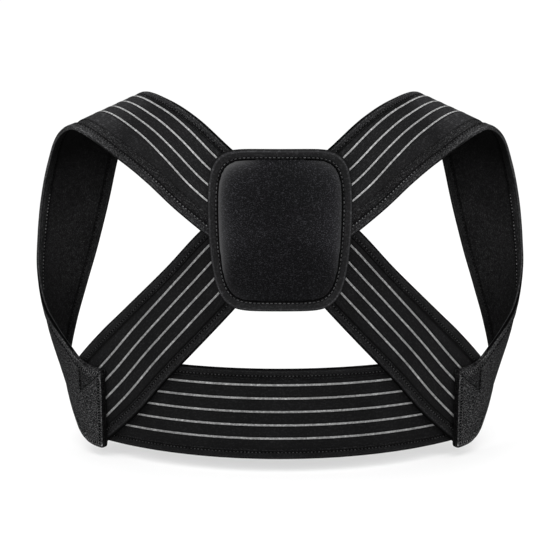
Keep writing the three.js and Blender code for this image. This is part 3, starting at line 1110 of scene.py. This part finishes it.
def binding_tape():
    """Smooth black tape, folded over the plate's edge: painted shade at edge and groove, painted highlight on
    the fold.
    """
    material, tree, shader = start_cloth("binding_tape", roughness=0.7, specular=0.06)
    cloth = object_map(tree)
    fluff = place_group(tree, lint, cloth, grain=600.0, amount=0.4)
    shade = place_group(tree, tone, cloth)
    inset = stored(tree, "inset")
    edge = faded(tree, inset, TAPE_EDGE, TAPE_EDGE_SHADE, 1.0)
    fold = faded(tree, inset, TAPE_FOLD, TAPE_FOLD_HIGHLIGHT, 1.0)
    groove = faded(tree, inset, TAPE_GROOVE, 1.0, TAPE_GROOVE_SHADE)
    colour = mix_colours(tree, fluff.outputs["Mask"], TAPE_BLACK, TAPE_PALE)
    paint(tree, shader, colour, product(tree, shade.outputs["Factor"], edge, fold, groove))
    bump(tree, shader, fluff.outputs["Height"], TAPE_RELIEF, 0.7)
    return material


def sewing_thread(name, level, specular):
    """Twisted thread. Some stitches catch the light and others stay dark."""
    material, tree, shader = start_cloth(name, roughness=0.5, specular=specular)
    shade = place_group(tree, tone, object_map(tree), size=170.0, least=0.1, most=2.1)
    colour = add_node(tree, "ShaderNodeRGB").outputs[0]
    colour.default_value = (level, level, level * THREAD_BLUE, 1.0)
    paint(tree, shader, colour, shade.outputs["Factor"])
    return material


PLATE_CLOTH = plate_cloth()
BINDING_TAPE = binding_tape()
# A lit copy of the thread: a painted highlight.
LIT_THREAD = sewing_thread("lit_thread", level=0.09, specular=0.1)
THREAD = sewing_thread("sewing_thread", level=0.025, specular=0.1)
PLATE_THREAD = sewing_thread("plate_thread", level=0.045, specular=0.1)
# Needle holes are painted shade.
HOLE_SHADE = sewing_thread("hole_shade", level=0.0006, specular=0.0)
print("threads:", LIT_THREAD.name, THREAD.name, PLATE_THREAD.name, HOLE_SHADE.name)

# %% [markdown]
# ## Stitching
# Each hem is held by a row of short stitches that sink into the cloth, with needle holes between them, which
# are painted shade. A bump could draw them, but from close by they would be flat. Each stitch or hole here is
# one small stretched ball of twenty faces, set on the cloth by the same function that places the cloth, so a
# row follows its strap exactly.

# %% Stitch rows
Stitch = namedtuple("Stitch", "pitch length girth first finish")
THREADED = 0
# Pierced marks are needle holes: near-black balls of painted shade.
PIERCED = 1
# First is the share of a pitch before the first one, so threads and holes take turns.
HEM_THREAD = Stitch(3.4, 1.7, 0.95, 0.5, THREADED)
HEM_HOLE = Stitch(3.4, 1.3, 1.25, 0.0, PIERCED)
FACES_OF_STITCH = 20
OUTER_STITCH_HEIGHT = 1.85
INNER_STITCH_HEIGHT = -1.3
LOW = 0
HIGH = 1
ALL_ROWS = [(OUTSIDE, LOW), (OUTSIDE, HIGH), (INSIDE, LOW), (INSIDE, HIGH)]


def add_stitch(bm, start, end, facing, stitch):
    """One stitch or needle hole between two points, in millimetres."""
    run = end - start
    forward = run.normalized()
    side = facing.cross(forward).normalized()
    turn = Matrix((forward, side, forward.cross(side))).transposed().to_4x4()
    sizes = Matrix.Diagonal((run.length * MM, stitch.girth * MM, stitch.girth * MM, 1.0))
    matrix = Matrix.Translation((start + end) * 0.5 * MM) @ turn @ sizes
    made = bmesh.ops.create_icosphere(bm, subdivisions=1, radius=0.5, matrix=matrix)
    for vert in made["verts"]:
        for face in vert.link_faces:
            face.material_index = stitch.finish


def stitch_line(bm, place, spots, stitch):
    """Stitches along a line on a strap. Spots are (along, across, height) rows close together."""
    points = [place(*spot) for spot in spots]
    travelled = 0.0
    wanted = stitch.pitch * stitch.first
    for index in range(len(points) - 1):
        here = points[index]
        run = points[index + 1] - here
        stretch = run.length
        while stretch > 0 and travelled + stretch >= wanted:
            middle = here + run * ((wanted - travelled) / stretch)
            along, across, height = spots[index]
            over = place(along, across, height + math.copysign(1.0, height)) - here
            half = run.normalized() * (stitch.length / 2)
            add_stitch(bm, middle - half, middle + half, over, stitch)
            wanted += stitch.pitch
        travelled += stretch


def hem_stitches(bm, place, stations, width, hems=PLAIN_HEMS, rows=ALL_ROWS, kinds=(HEM_THREAD, HEM_HOLE)):
    """Rows of stitches along the hems of a strap. Each row is given by its face and its edge."""
    for face, edge in rows:
        height = OUTER_STITCH_HEIGHT if face == OUTSIDE else INNER_STITCH_HEIGHT
        inset = HEM_STITCH * hems[face][edge] / width
        across = inset if edge == LOW else 1 - inset
        spots = [(station.along, across, height) for station in stations]
        for kind in kinds:
            stitch_line(bm, place, spots, kind)


def finish_stitching(bm, name):
    """Turns a set of stitches into a mesh with smooth faces."""
    for face in bm.faces:
        face.smooth = True
    print(name, "has", len(bm.faces) // FACES_OF_STITCH, "stitches and holes")
    return mesh_from(bm, name)


print("stitch pitch", HEM_THREAD.pitch, "mm")

# %% [markdown]
# ## Waist belt
# The belt is the plainest strap: level, hemmed top and bottom, with five stripes. It shows how all the
# others are made: a hemmed base, the elastic laid on it between the hems, and the stitching.

# %% Belt
WAIST_WIDTH = WAIST_TOP - WAIST_BOTTOM
WAIST_WEBBING = (10.0, WAIST_WIDTH - 10.0)
WAIST_WEBBING_ENDS = (0.012, 0.988)
STATION_STEP = 3.0
RIPPLE_HEIGHT = 0.15
RIPPLE_ALONG = 0.045
RIPPLE_ACROSS = 0.05
RIPPLE_FACES_APART = 3.0


def ripple(station, point):
    """The place across and the height of a point, slightly uneven, so that no strap is perfectly flat."""
    along = station.distance * RIPPLE_ALONG
    across = point.across * RIPPLE_ACROSS
    spot = Vector((along, across, RIPPLE_FACES_APART * point.finish))
    return point.across, point.height + RIPPLE_HEIGHT * noise.noise(spot)


def as_drawn(station, point):
    """The place across and the height of a point just as its profile gives them, all along the strap."""
    return point.across, point.height


waist_stations = even_stations(waist_place, STATION_STEP)
waist_profile = band_profile(WAIST_WIDTH)
waist_mesh = lay_strip("waist_band", waist_place, waist_stations, waist_profile, WAIST_WIDTH, ripple)
put_out("waist_cloth", waist_mesh, [BELT_CLOTH, BAND_LINING], "waist_band")

waist_ends = even_stations(waist_place, STATION_STEP, *WAIST_WEBBING_ENDS)
waist_strip = webbing_profile(*WAIST_WEBBING, WAIST_STRIPES)
waist_webbing = lay_strip("waist_elastic", waist_place, waist_ends, waist_strip, WAIST_WIDTH, as_drawn)
put_out("waist_stripes", waist_webbing, [WAIST_ELASTIC, WAIST_ELASTIC], "waist_webbing")

waist_thread = bmesh.new()
hem_stitches(waist_thread, waist_place, waist_stations, WAIST_WIDTH)
waist_stitching = finish_stitching(waist_thread, "waist_stitching")
put_out("waist_stitching", waist_stitching, [THREAD, HOLE_SHADE])
print("belt:", len(waist_mesh.vertices), "points,", round(waist_stations[-1].distance), "mm long")

# %% [markdown]
# ## Back straps
# They leave the plate below its middle and run down to the corners. Stretched askew, the elastic lets its
# stripes drift across the strap; a short table says where they run. The strap's lower edge stands off the
# belt where nothing holds it. Only the left strap is laid; the right one is its mirror image.

# %% Stripes that drift
LaneRow = namedtuple("LaneRow", "along first pitch")
LANE_BLEND = 0.03


def part_way(low, high, value):
    """0 at low, 1 at high and straight between."""
    return max(0.0, min(1.0, (value - low) / (high - low)))


def lane_at(rows, along):
    """First stripe and pitch at a place along a strap, between the two nearest rows of a table."""
    after = next((index for index, row in enumerate(rows) if row.along >= along), len(rows) - 1)
    near = rows[max(0, after - 1)]
    far = rows[after]
    part = part_way(near.along, far.along, along) if after else 0.0
    return near.first + (far.first - near.first) * part, near.pitch + (far.pitch - near.pitch) * part


def follow_lanes(rows, stripe_places):
    """A shape whose stripes drift across the strap as a table says, while the webbing's edges stay."""
    def shape(station, point):
        if point.stripe is None:
            return point.across, point.height
        lanes = [lane_at(rows, station.along + LANE_BLEND * step / 2) for step in range(-2, 3)]
        first = sum(lane[0] for lane in lanes) / len(lanes)
        pitch = sum(lane[1] for lane in lanes) / len(lanes)
        return first + pitch * point.stripe + point.across - stripe_places[point.stripe], point.height

    return shape


BACK_LANES = [
    LaneRow(0.0, 16.0, 13.2),
    LaneRow(0.4, 16.9, 12.7),
    LaneRow(0.6, 20.3, 12.2),
    LaneRow(0.8, 22.6, 11.9),
    LaneRow(1.0, 24.5, 12.0),
]
SHOULDER_LANES = [
    LaneRow(0.0, 14.6, 12.0),
    LaneRow(0.13, 14.4, 11.9),
    LaneRow(0.16, 13.7, 11.6),
    LaneRow(0.19, 12.4, 11.5),
    LaneRow(0.22, 11.2, 11.2),
    LaneRow(0.25, 10.5, 10.6),
    LaneRow(0.28, 10.9, 10.2),
    LaneRow(0.4, 13.0, 11.4),
    LaneRow(1.0, 13.6, 12.1),
]
back_shape = follow_lanes(BACK_LANES, BACK_STRIPES)
loop_shape = follow_lanes(SHOULDER_LANES, SHOULDER_STRIPES)
print("rows of stripe lanes:", len(BACK_LANES), "on a back strap,", len(SHOULDER_LANES), "on a loop")

# %% [markdown]
# The lift of the lower edge is added to the height that the strap's place function is given, so cloth,
# elastic and stitches all rise together.

# %% Back straps
BACK_HEMS = (Hems(1.15, 1.15), Hems(1.0, 1.0))
BACK_WEBBING_ENDS = (0.04, 0.96)
EDGE_LIFT = 2.6
# Places along the strap between which the edge lifts off and comes down again.
LIFTS_OFF = (0.3, 0.55)
COMES_DOWN = (0.97, 0.85)


def lifted_place(along, across, height):
    """The back strap with its lower edge lifted off the belt: most in the open, not at all at the ends."""
    in_the_open = part_way(*LIFTS_OFF, along) * part_way(*COMES_DOWN, along)
    return back_place(along, across, height + EDGE_LIFT * in_the_open * across**4)


back_stations = even_stations(back_place, STATION_STEP)
back_profile = band_profile(STRAP_WIDTH, BACK_HEMS)
back_mesh = lay_strip(
    "left_back", lifted_place, back_stations, back_profile, STRAP_WIDTH, ripple, BACK_HEMS
)
back_ends = even_stations(back_place, STATION_STEP, *BACK_WEBBING_ENDS)
back_strip = webbing_profile(*BACK_WEBBING, BACK_STRIPES)
back_webbing = lay_strip(
    "left_back_elastic", lifted_place, back_ends, back_strip, STRAP_WIDTH, back_shape
)
back_thread = bmesh.new()
hem_stitches(back_thread, lifted_place, back_stations, STRAP_WIDTH, BACK_HEMS)
back_stitching = finish_stitching(back_thread, "left_back_stitching")
put_both([
    Piece("back_cloth", back_mesh, [BACK_CLOTH, BAND_LINING], "band", "back_band"),
    Piece("back_stripes", back_webbing, [BACK_ELASTIC, BACK_ELASTIC], "webbing", "back_webbing"),
    Piece("back_stitching", back_stitching, [THREAD, HOLE_SHADE], "band"),
])
print("back strap:", round(back_stations[-1].distance), "mm long")

# %% [markdown]
# ## Shoulder loops
# A loop is one long strap. Its elastic covers the back and the shoulder; the rest is plain heathered cloth
# outside and smooth lining inside. At the corner its end is folded under and sewn down all round, so the
# last stretch is twice as thick and ends in a round fold.

# %% Loops
LOOP_HEMS = (Hems(0.85, 1.2), Hems(1.35, 1.3))
LOOP_WEBBING_ENDS = (0.012, 0.56)
FOLD_LENGTH = 29.0
FOLD_RISE = 2.8
FOLD_RAMP = 2.5
FOLD_FOOT_RAMP = 16.0
FOLD_FOOT = 40.0
FOLD_ROUND = 1.9
FOLD_STEP = 0.6
CORNER_ROUND = 5.0
PRESS_LENGTH = 12.0
PRESSED_HEIGHT = 1.5
CREASE_LEFT = 35.0
CREASE_HALF = 1.8
CREASE_DEPTH = 1.4
CREASE_ACROSS = 0.68
CREASE_SPREAD = 0.4
CREASE_MARGIN = 6.0
shoulder_stations = even_stations(shoulder_place, STATION_STEP)
SHOULDER_LENGTH = shoulder_stations[-1].distance


def folded_end(station, point):
    """The cloth's own place and height: pressed flat and doubled over the end, rounded off at the fold."""
    left = max(0.0, SHOULDER_LENGTH - station.distance)
    across, height = ripple(station, point)
    if point.finish == OUTSIDE:
        pressed = part_way(FOLD_LENGTH + PRESS_LENGTH, FOLD_LENGTH, left)
        height += (min(height, PRESSED_HEIGHT) - height) * pressed
        ramp = FOLD_RAMP + FOLD_FOOT_RAMP * part_way(FOLD_FOOT, 0.0, across)
        height += FOLD_RISE * part_way(FOLD_LENGTH, FOLD_LENGTH - ramp, left)
        spread = part_way(CREASE_SPREAD, 0.0, abs(across / STRAP_WIDTH - CREASE_ACROSS))
        height -= CREASE_DEPTH * spread * math.exp(-(((left - CREASE_LEFT) / CREASE_HALF) ** 2))
    if left < CORNER_ROUND:
        inset = CORNER_ROUND - math.sqrt(CORNER_ROUND**2 - (CORNER_ROUND - left) ** 2)
        across = inset + across * (STRAP_WIDTH - inset) / STRAP_WIDTH
    if left < FOLD_ROUND:
        middle = FOLD_RISE / 2
        height = middle + (height - middle) * math.sqrt(max(0.0, 1 - (1 - left / FOLD_ROUND) ** 2))
    return across, height


# The even stations serve up to the crease; from there the stations lie closer together.
fine_from = SHOULDER_LENGTH - CREASE_LEFT - CREASE_MARGIN
loop_stations = [station for station in shoulder_stations if station.distance < fine_from]
last_even = loop_stations[-1]
for station in even_stations(shoulder_place, FOLD_STEP, last_even.along, 1.0)[1:]:
    loop_stations.append(Station(station.along, station.distance + last_even.distance))
loop_profile = band_profile(STRAP_WIDTH, LOOP_HEMS)
loop_mesh = lay_strip(
    "left_loop", shoulder_place, loop_stations, loop_profile, STRAP_WIDTH, folded_end, LOOP_HEMS
)
loop_ends = even_stations(shoulder_place, STATION_STEP, *LOOP_WEBBING_ENDS)
loop_strip = webbing_profile(*LOOP_WEBBING, SHOULDER_STRIPES)
loop_webbing = lay_strip(
    "left_loop_elastic", shoulder_place, loop_ends, loop_strip, STRAP_WIDTH, loop_shape
)
print("loop:", len(loop_mesh.vertices), "points,", round(SHOULDER_LENGTH), "mm long")

# %% [markdown]
# On the loop the thread is painted lit, as a highlight, in two places: along the arm's edge between the plate
# and the shoulder, and inside the loop in front of the arm. It stays dark elsewhere, where one row across the
# strap also holds the end of the elastic. Lit and plain stitches are gathered in two meshes, one for each
# thread.

# %% Loop stitching
LoopRow = namedtuple("LoopRow", "face edge reach pale_reach worn")
PALE_OUTSIDE = (0.0, 140.0)
PALE_INSIDE = (SHOULDER_LENGTH - 255.0, SHOULDER_LENGTH - 140.0)
UNFOLDED = (0.0, SHOULDER_LENGTH - FOLD_LENGTH)
WHOLE = (0.0, SHOULDER_LENGTH + 1.0)
LOOP_ROWS = [
    # face and edge, the row's reach, the stretch that may be in lit thread, and whether it is
    LoopRow(OUTSIDE, HIGH, UNFOLDED, PALE_OUTSIDE, True),
    LoopRow(INSIDE, HIGH, WHOLE, PALE_INSIDE, True),
    LoopRow(OUTSIDE, LOW, UNFOLDED, PALE_OUTSIDE, False),
    LoopRow(INSIDE, LOW, WHOLE, PALE_INSIDE, False),
]
LOOP_HOLE = Stitch(3.4, 1.2, 0.95, 0.0, PIERCED)
ELASTIC_ROW_IN = 2.0
ELASTIC_ROW_RISE = 0.2
ELASTIC_ROW_STEPS = 40
lit_rows = bmesh.new()
plain_rows = bmesh.new()


def row_kinds(face, pale):
    """Outside, the needle holes of a loop are small; inside, threads show only where they are painted lit."""
    if face == OUTSIDE:
        return (HEM_THREAD, LOOP_HOLE)
    return (HEM_THREAD, HEM_HOLE) if pale else (HEM_HOLE,)


def loop_row(row):
    """One row along a loop, in up to three stretches: plain, then in lit thread if highlighted, and plain
    again.
    """
    pale_from, pale_to = row.pale_reach
    stretches = [
        (row.reach[0], pale_from, False),
        (pale_from, pale_to, row.worn),
        (pale_to, row.reach[1], False),
    ]
    for start, end, pale in stretches:
        stations = [station for station in shoulder_stations if start <= station.distance < end]
        if len(stations) > 1:
            bm = lit_rows if pale else plain_rows
            face_and_edge = [(row.face, row.edge)]
            kinds = row_kinds(row.face, pale)
            hem_stitches(bm, shoulder_place, stations, STRAP_WIDTH, LOOP_HEMS, face_and_edge, kinds)


for row in LOOP_ROWS:
    loop_row(row)

# The row that holds the elastic lies three stations before the elastic's end.
elastic_end = loop_ends[-4].along
elastic_from = LOOP_WEBBING[0] + ELASTIC_ROW_IN
elastic_run = LOOP_WEBBING[1] - ELASTIC_ROW_IN - elastic_from
elastic_row = []
for step in range(ELASTIC_ROW_STEPS + 1):
    across = elastic_from + elastic_run * step / ELASTIC_ROW_STEPS
    elastic_row.append((elastic_end, across / STRAP_WIDTH, WEBBING_FRONT + ELASTIC_ROW_RISE))
stitch_line(plain_rows, shoulder_place, elastic_row, HEM_THREAD)
print("pale stitches run for", PALE_OUTSIDE[1], "mm outside")

# %% [markdown]
# The sewn end carries the pull of the loop, so its stitches are short, thick and close. Lit ones, a painted
# highlight, run along its top and bottom, with needle holes of painted shade between them; dark ones and
# holes run along the fold. The rows are straight on the flat cloth, so only their two ends are given.

# %% The sewn end
END_HEIGHT = PRESSED_HEIGHT + FOLD_RISE
END_NEAR = 5.4
END_FAR = FOLD_LENGTH - 1.5
END_LOW = 4.8
END_HIGH = STRAP_WIDTH - 4.8
END_STEPS = 60
END_THREAD = Stitch(2.7, 1.3, 1.25, 0.5, THREADED)
END_HOLE = Stitch(2.7, 1.5, 1.8, 0.0, PIERCED)


def along_at(left):
    """The place along the loop that is a number of millimetres before its end."""
    wanted = SHOULDER_LENGTH - left
    nearest = min(loop_stations, key=lambda station: abs(station.distance - wanted))
    return nearest.along


def end_spots(left_from, across_from, left_to, across_to):
    """Spots along a straight line on the sewn end, from one place to another."""
    spots = []
    for step in range(END_STEPS + 1):
        part = step / END_STEPS
        along = along_at(left_from + (left_to - left_from) * part)
        across = across_from + (across_to - across_from) * part
        spots.append((along, across / STRAP_WIDTH, END_HEIGHT))
    return spots


for end_across in (END_LOW, END_HIGH):
    end_row = end_spots(END_NEAR, end_across, END_FAR, end_across)
    stitch_line(lit_rows, shoulder_place, end_row, END_THREAD)
    stitch_line(lit_rows, shoulder_place, end_row, END_HOLE)
end_column = end_spots(END_NEAR, END_LOW, END_NEAR, END_HIGH)
stitch_line(lit_rows, shoulder_place, end_column, END_HOLE)
stitch_line(plain_rows, shoulder_place, end_column, END_THREAD)
lit_stitching = finish_stitching(lit_rows, "left_loop_stitching")
plain_stitching = finish_stitching(plain_rows, "left_hem_stitching")

# %% [markdown]
# Both loops are one pattern, sewn once for each side, so the right one is a mirror image again.

# %% Both loops
put_both([
    Piece("loop_cloth", loop_mesh, [LOOP_CLOTH, LOOP_LINING], "band", "shoulder_band"),
    Piece("loop_stripes", loop_webbing, [SHOULDER_ELASTIC, SHOULDER_ELASTIC], "webbing", "shoulder_webbing"),
    Piece("loop_stitching", lit_stitching, [LIT_THREAD, HOLE_SHADE], "band"),
    Piece("hem_stitching", plain_stitching, [THREAD, HOLE_SHADE], "band"),
])

# %% [markdown]
# ## The plate
# The plate is a stuffed cushion inside a bound border. Its outline is a rounded rectangle that narrows a
# little above and more below. One function gives a point of that outline, drawn in by an inset, so the
# border, the seam and the cushion all share it.

# %% Plate outline and border
PAD_LIFT = 12.3
PAD_HALF_WIDTH = 61.5
PAD_HALF_HEIGHT = 73.0
PAD_CORNER_POWER = 6
PAD_WIDEST = 20.0
PAD_TAPER = 0.00125
BORDER_WIDTH = 9.0


def plate_narrowing(up):
    """The share of its full width that the plate has at a height."""
    return 1 - PAD_TAPER * (up - PAD_WIDEST) ** 2 / PAD_HALF_WIDTH


def plate_outline(turn, inset):
    """Arc and height of the outline at a turn from 0 to 1 round it."""
    angle = 2 * math.pi * turn
    wide = abs(math.cos(angle) / (PAD_HALF_WIDTH - inset)) ** PAD_CORNER_POWER
    tall = abs(math.sin(angle) / (PAD_HALF_HEIGHT - inset)) ** PAD_CORNER_POWER
    reach = (wide + tall) ** (-1 / PAD_CORNER_POWER)
    up = reach * math.sin(angle)
    return reach * math.cos(angle) * plate_narrowing(up), up


def plate_place(turn, inset, height):
    """A point of the plate over the rounded back."""
    arc, up = plate_outline(turn, inset)
    return on_back(arc, up, PAD_LIFT + height)


# Border profile, once round: inset from the outline and height over the back of the plate.
BORDER_PROFILE = [
    (13.4, 0.1),
    (12.9, -0.1),
    (4.5, -0.1),
    (1.2, 0.05),
    (0.3, 0.9),
    (0.0, 1.9),
    (0.4, 3.0),
    (1.4, 3.8),
    (2.8, 4.1),
    (4.6, 4.1),
    (6.3, 3.7),
    (7.1, 3.0),
    (7.6, 2.4),
    (8.1, 2.9),
    (8.6, 2.9),
    (8.9, 2.2),
    (9.0, 0.5),
    (9.5, 0.12),
]
BORDER_STEPS = 220

border = bmesh.new()
border_rows = len(BORDER_PROFILE)
bmesh.ops.create_grid(border, x_segments=BORDER_STEPS, y_segments=border_rows, size=0.5)
inset_layer = border.verts.layers.float.new("inset")
for vert in border.verts:
    turn = round((vert.co.x + 0.5) * BORDER_STEPS) / BORDER_STEPS
    inset, height = BORDER_PROFILE[round((vert.co.y + 0.5) * border_rows) % border_rows]
    vert.co = plate_place(turn, inset, height) * MM
    vert[inset_layer] = inset * MM
bmesh.ops.remove_doubles(border, verts=border.verts, dist=MERGE_WITHIN)
bmesh.ops.recalc_face_normals(border, faces=border.faces)
for face in border.faces:
    face.smooth = True
border_mesh = mesh_from(border, "plate_border")
put_out("plate_border", border_mesh, [BINDING_TAPE], "pad_binding")
print("border:", len(border_mesh.vertices), "points")

# %% [markdown]
# The cushion is foam in cloth. It could be a subdivided box, but foam under cloth pushes out evenly and is
# held at its seam. That is what cloth with inner pressure does, so the cushion starts as a low slab, is
# remeshed to even cells and blown up by the cloth solver with its back and seam pinned. How far a point may
# move is capped, and the result is applied. The slab is flat; it is bent over the back afterwards.

# %% Cushion slab
CUSHION_INSET = BORDER_WIDTH + 0.15
CUSHION_RINGS = [
    # inset from the cushion's edge and height over the back of the plate, from the back round to the front
    (24.0, 0.4),
    (0.0, 0.4),
    (0.0, 2.8),
    (0.8, 4.6),
    (3.2, 6.3),
    (9.2, 7.6),
    (22.0, 8.4),
    (36.0, 8.6),
]
CUSHION_STEPS = 128


def flat_place(turn, inset, height):
    """A point of the plate laid out flat: arc across, height towards the viewer, and up."""
    arc, up = plate_outline(turn, inset)
    return Vector((arc, -height, up))


slab = bmesh.new()
ring_edges = []
for ring_inset, ring_height in CUSHION_RINGS:
    ring = bmesh.ops.create_circle(slab, segments=CUSHION_STEPS, radius=1.0)["verts"]
    ring_edges.append({edge for vert in ring for edge in vert.link_edges})
    for vert in ring:
        turn = math.atan2(vert.co.y, vert.co.x) / (2 * math.pi)
        vert.co = flat_place(turn, CUSHION_INSET + ring_inset, ring_height) * MM
for lower, upper in zip(ring_edges, ring_edges[1:]):
    bmesh.ops.bridge_loops(slab, edges=list(lower | upper))
bmesh.ops.holes_fill(slab, edges=list(ring_edges[0] | ring_edges[-1]), sides=0)
bmesh.ops.recalc_face_normals(slab, faces=slab.faces)
cushion = bpy.data.objects.new("plate_cushion", mesh_from(slab, "cushion_slab"))
scene.collection.objects.link(cushion)
print("slab:", len(CUSHION_RINGS), "rings of", CUSHION_STEPS, "points")

# %% [markdown]
# The remesh gives cells of one size, which the solver needs to stretch evenly. The pin group holds the back
# and the seam still, and frees the front little by little over the first few millimetres from the seam.

# %% Stuffing the cushion
CUSHION_VOXEL = 0.0022
CUSHION_PRESSURE = 4.0
CUSHION_FRAMES = 20
CUSHION_CAP = 0.0022
PIN_HEIGHT = 0.0024
FREE_HEIGHT = 0.0052
NO_MOVE = 1e-9


def baked(thing):
    """The mesh that an object's modifiers give, as a mesh of its own."""
    bpy.context.view_layer.update()
    shown = thing.evaluated_get(bpy.context.evaluated_depsgraph_get())
    return bpy.data.meshes.new_from_object(shown)


remesh = cushion.modifiers.new("even_cells", "REMESH")
remesh.mode = "VOXEL"
remesh.voxel_size = CUSHION_VOXEL
even_mesh = baked(cushion)
cushion.modifiers.clear()
cushion.data = even_mesh

pins = cushion.vertex_groups.new(name="pins")
for vert in even_mesh.vertices:
    pins.add([vert.index], 1.0 - part_way(PIN_HEIGHT, FREE_HEIGHT, -vert.co.y), "REPLACE")
stuffing = cushion.modifiers.new("stuffing", "CLOTH")
stuffing.settings.use_pressure = True
stuffing.settings.uniform_pressure_force = CUSHION_PRESSURE
stuffing.settings.effector_weights.gravity = 0.0
stuffing.settings.vertex_group_mass = pins.name
stuffing.point_cache.frame_start = 1
stuffing.point_cache.frame_end = CUSHION_FRAMES
for frame_number in range(1, CUSHION_FRAMES + 1):
    scene.frame_set(frame_number)
stuffed_mesh = baked(cushion)
moves = [after.co - before.co for after, before in zip(stuffed_mesh.vertices, even_mesh.vertices)]
print("stuffing moved the front by up to", round(max(move.length for move in moves) / MM, 2), "mm")
for vert, before, move in zip(stuffed_mesh.vertices, even_mesh.vertices, moves):
    vert.co = before.co + move * min(1.0, CUSHION_CAP / max(move.length, NO_MOVE))
cushion.modifiers.clear()
cushion.vertex_groups.clear()
cushion.data = stuffed_mesh
scene.frame_set(1)

# %% [markdown]
# A sewn edge pulls the cloth in at every stitch. Small puckers go into the rim of the cushion, strongest at
# the seam and gone a little way in. Then the flat cushion is bent over the back like the rest of the plate.
# On the way each point stores two values that the plate's cloth reads: how strong the painted highlight on
# the rim is there, most on the left, and how much painted sheen brightens it towards the rim. A painted mask
# would do the same; a formula keeps it true to the outline.

# %% Puckers and bending
PUCKER_DEPTH = 0.28
PUCKER_REACH = 9.0
PUCKER_START = (2.0, 4.0)
PUCKER_GRAIN = 0.22
PUCKER_SEED = 7.0
# Painted highlight on the cushion's rim: strongest on the left, weaker on the right, more on the sides than
# top and bottom.
RIM_REACH = 3.0
RIM_RIGHT = 0.3
RIM_SIDES = (0.2, 0.6)
RIM_LOW = (0.45, 0.8)
RIM_LOW_LOSS = 0.85
# Painted sheen: brighter towards the rim and on the sides, fading out at the bottom.
SHEEN_REACH = 20.0
SHEEN_TOP = 0.85
SHEEN_SIDE = 1.3
SHEEN_LOW = (0.1, 0.9)


def rise(low, high, value):
    """0 at low, 1 at high and smooth between."""
    part = part_way(low, high, value)
    return part * part * (3 - 2 * part)


rims = []
painted_sheens = []
for vert in cushion.data.vertices:
    arc = vert.co.x / MM
    up = vert.co.z / MM
    height = -vert.co.y / MM
    turn = math.atan2(up, arc / plate_narrowing(up)) / (2 * math.pi)
    edge_arc, edge_up = plate_outline(turn, CUSHION_INSET)
    edge_reach = math.hypot(edge_arc, edge_up)
    inward = max(0.0, 1 - math.hypot(arc, up) / edge_reach) * min(PAD_HALF_WIDTH, edge_reach)
    sideways = abs(edge_arc) / edge_reach
    downward = -edge_up / edge_reach
    lit = rise(*RIM_SIDES, sideways) * (1 - RIM_LOW_LOSS * rise(*RIM_LOW, downward))
    rims.append(lit * (1.0 if arc < 0 else RIM_RIGHT) * math.exp(-inward / RIM_REACH))
    gain = SHEEN_TOP + SHEEN_SIDE * sideways
    painted_sheens.append(1 + gain * (1 - rise(*SHEEN_LOW, downward)) * math.exp(-inward / SHEEN_REACH))
    fading = part_way(PUCKER_REACH, 0.0, inward) * part_way(*PUCKER_START, height)
    pull = noise.noise(Vector((arc * PUCKER_GRAIN, up * PUCKER_GRAIN, PUCKER_SEED)))
    vert.co = on_back(arc, up, PAD_LIFT + height + PUCKER_DEPTH * fading * pull) * MM
for layer_name, values in (("rim", rims), ("painted_sheen", painted_sheens)):
    layer = cushion.data.attributes.new(layer_name, "FLOAT", "POINT")
    layer.data.foreach_set("value", values)

cushion_mesh = cushion.data
cushion_mesh.materials.append(PLATE_CLOTH)
for polygon in cushion_mesh.polygons:
    polygon.use_smooth = True
finer = cushion.modifiers.new("finer", "SUBSURF")
finer.levels = 1
finer.render_levels = 1
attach(cushion, "root")
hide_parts("pad_cushion")
print("cushion:", len(cushion_mesh.polygons), "faces")

# %% [markdown]
# One row of long stitches goes right round the plate, in the groove between the border and the cushion. It
# is laid like the hems' rows, with the plate's own place function: a turn stands in for the place along.

# %% Stitching round the plate
PLATE_STITCH_INSET = 7.6
PLATE_STITCH_HEIGHT = 2.75
PLATE_STITCH_STEPS = 800
PLATE_STITCH = Stitch(3.8, 3.0, 0.9, 0.5, THREADED)
PLATE_HOLE = Stitch(3.8, 1.0, 1.1, 0.0, PIERCED)
plate_turns = [step / PLATE_STITCH_STEPS for step in range(PLATE_STITCH_STEPS + 1)]
plate_spots = [(turn, PLATE_STITCH_INSET, PLATE_STITCH_HEIGHT) for turn in plate_turns]
plate_thread = bmesh.new()
stitch_line(plate_thread, plate_place, plate_spots, PLATE_STITCH)
stitch_line(plate_thread, plate_place, plate_spots, PLATE_HOLE)
plate_stitching = finish_stitching(plate_thread, "plate_stitching")
put_out("plate_stitching", plate_stitching, [PLATE_THREAD, HOLE_SHADE])
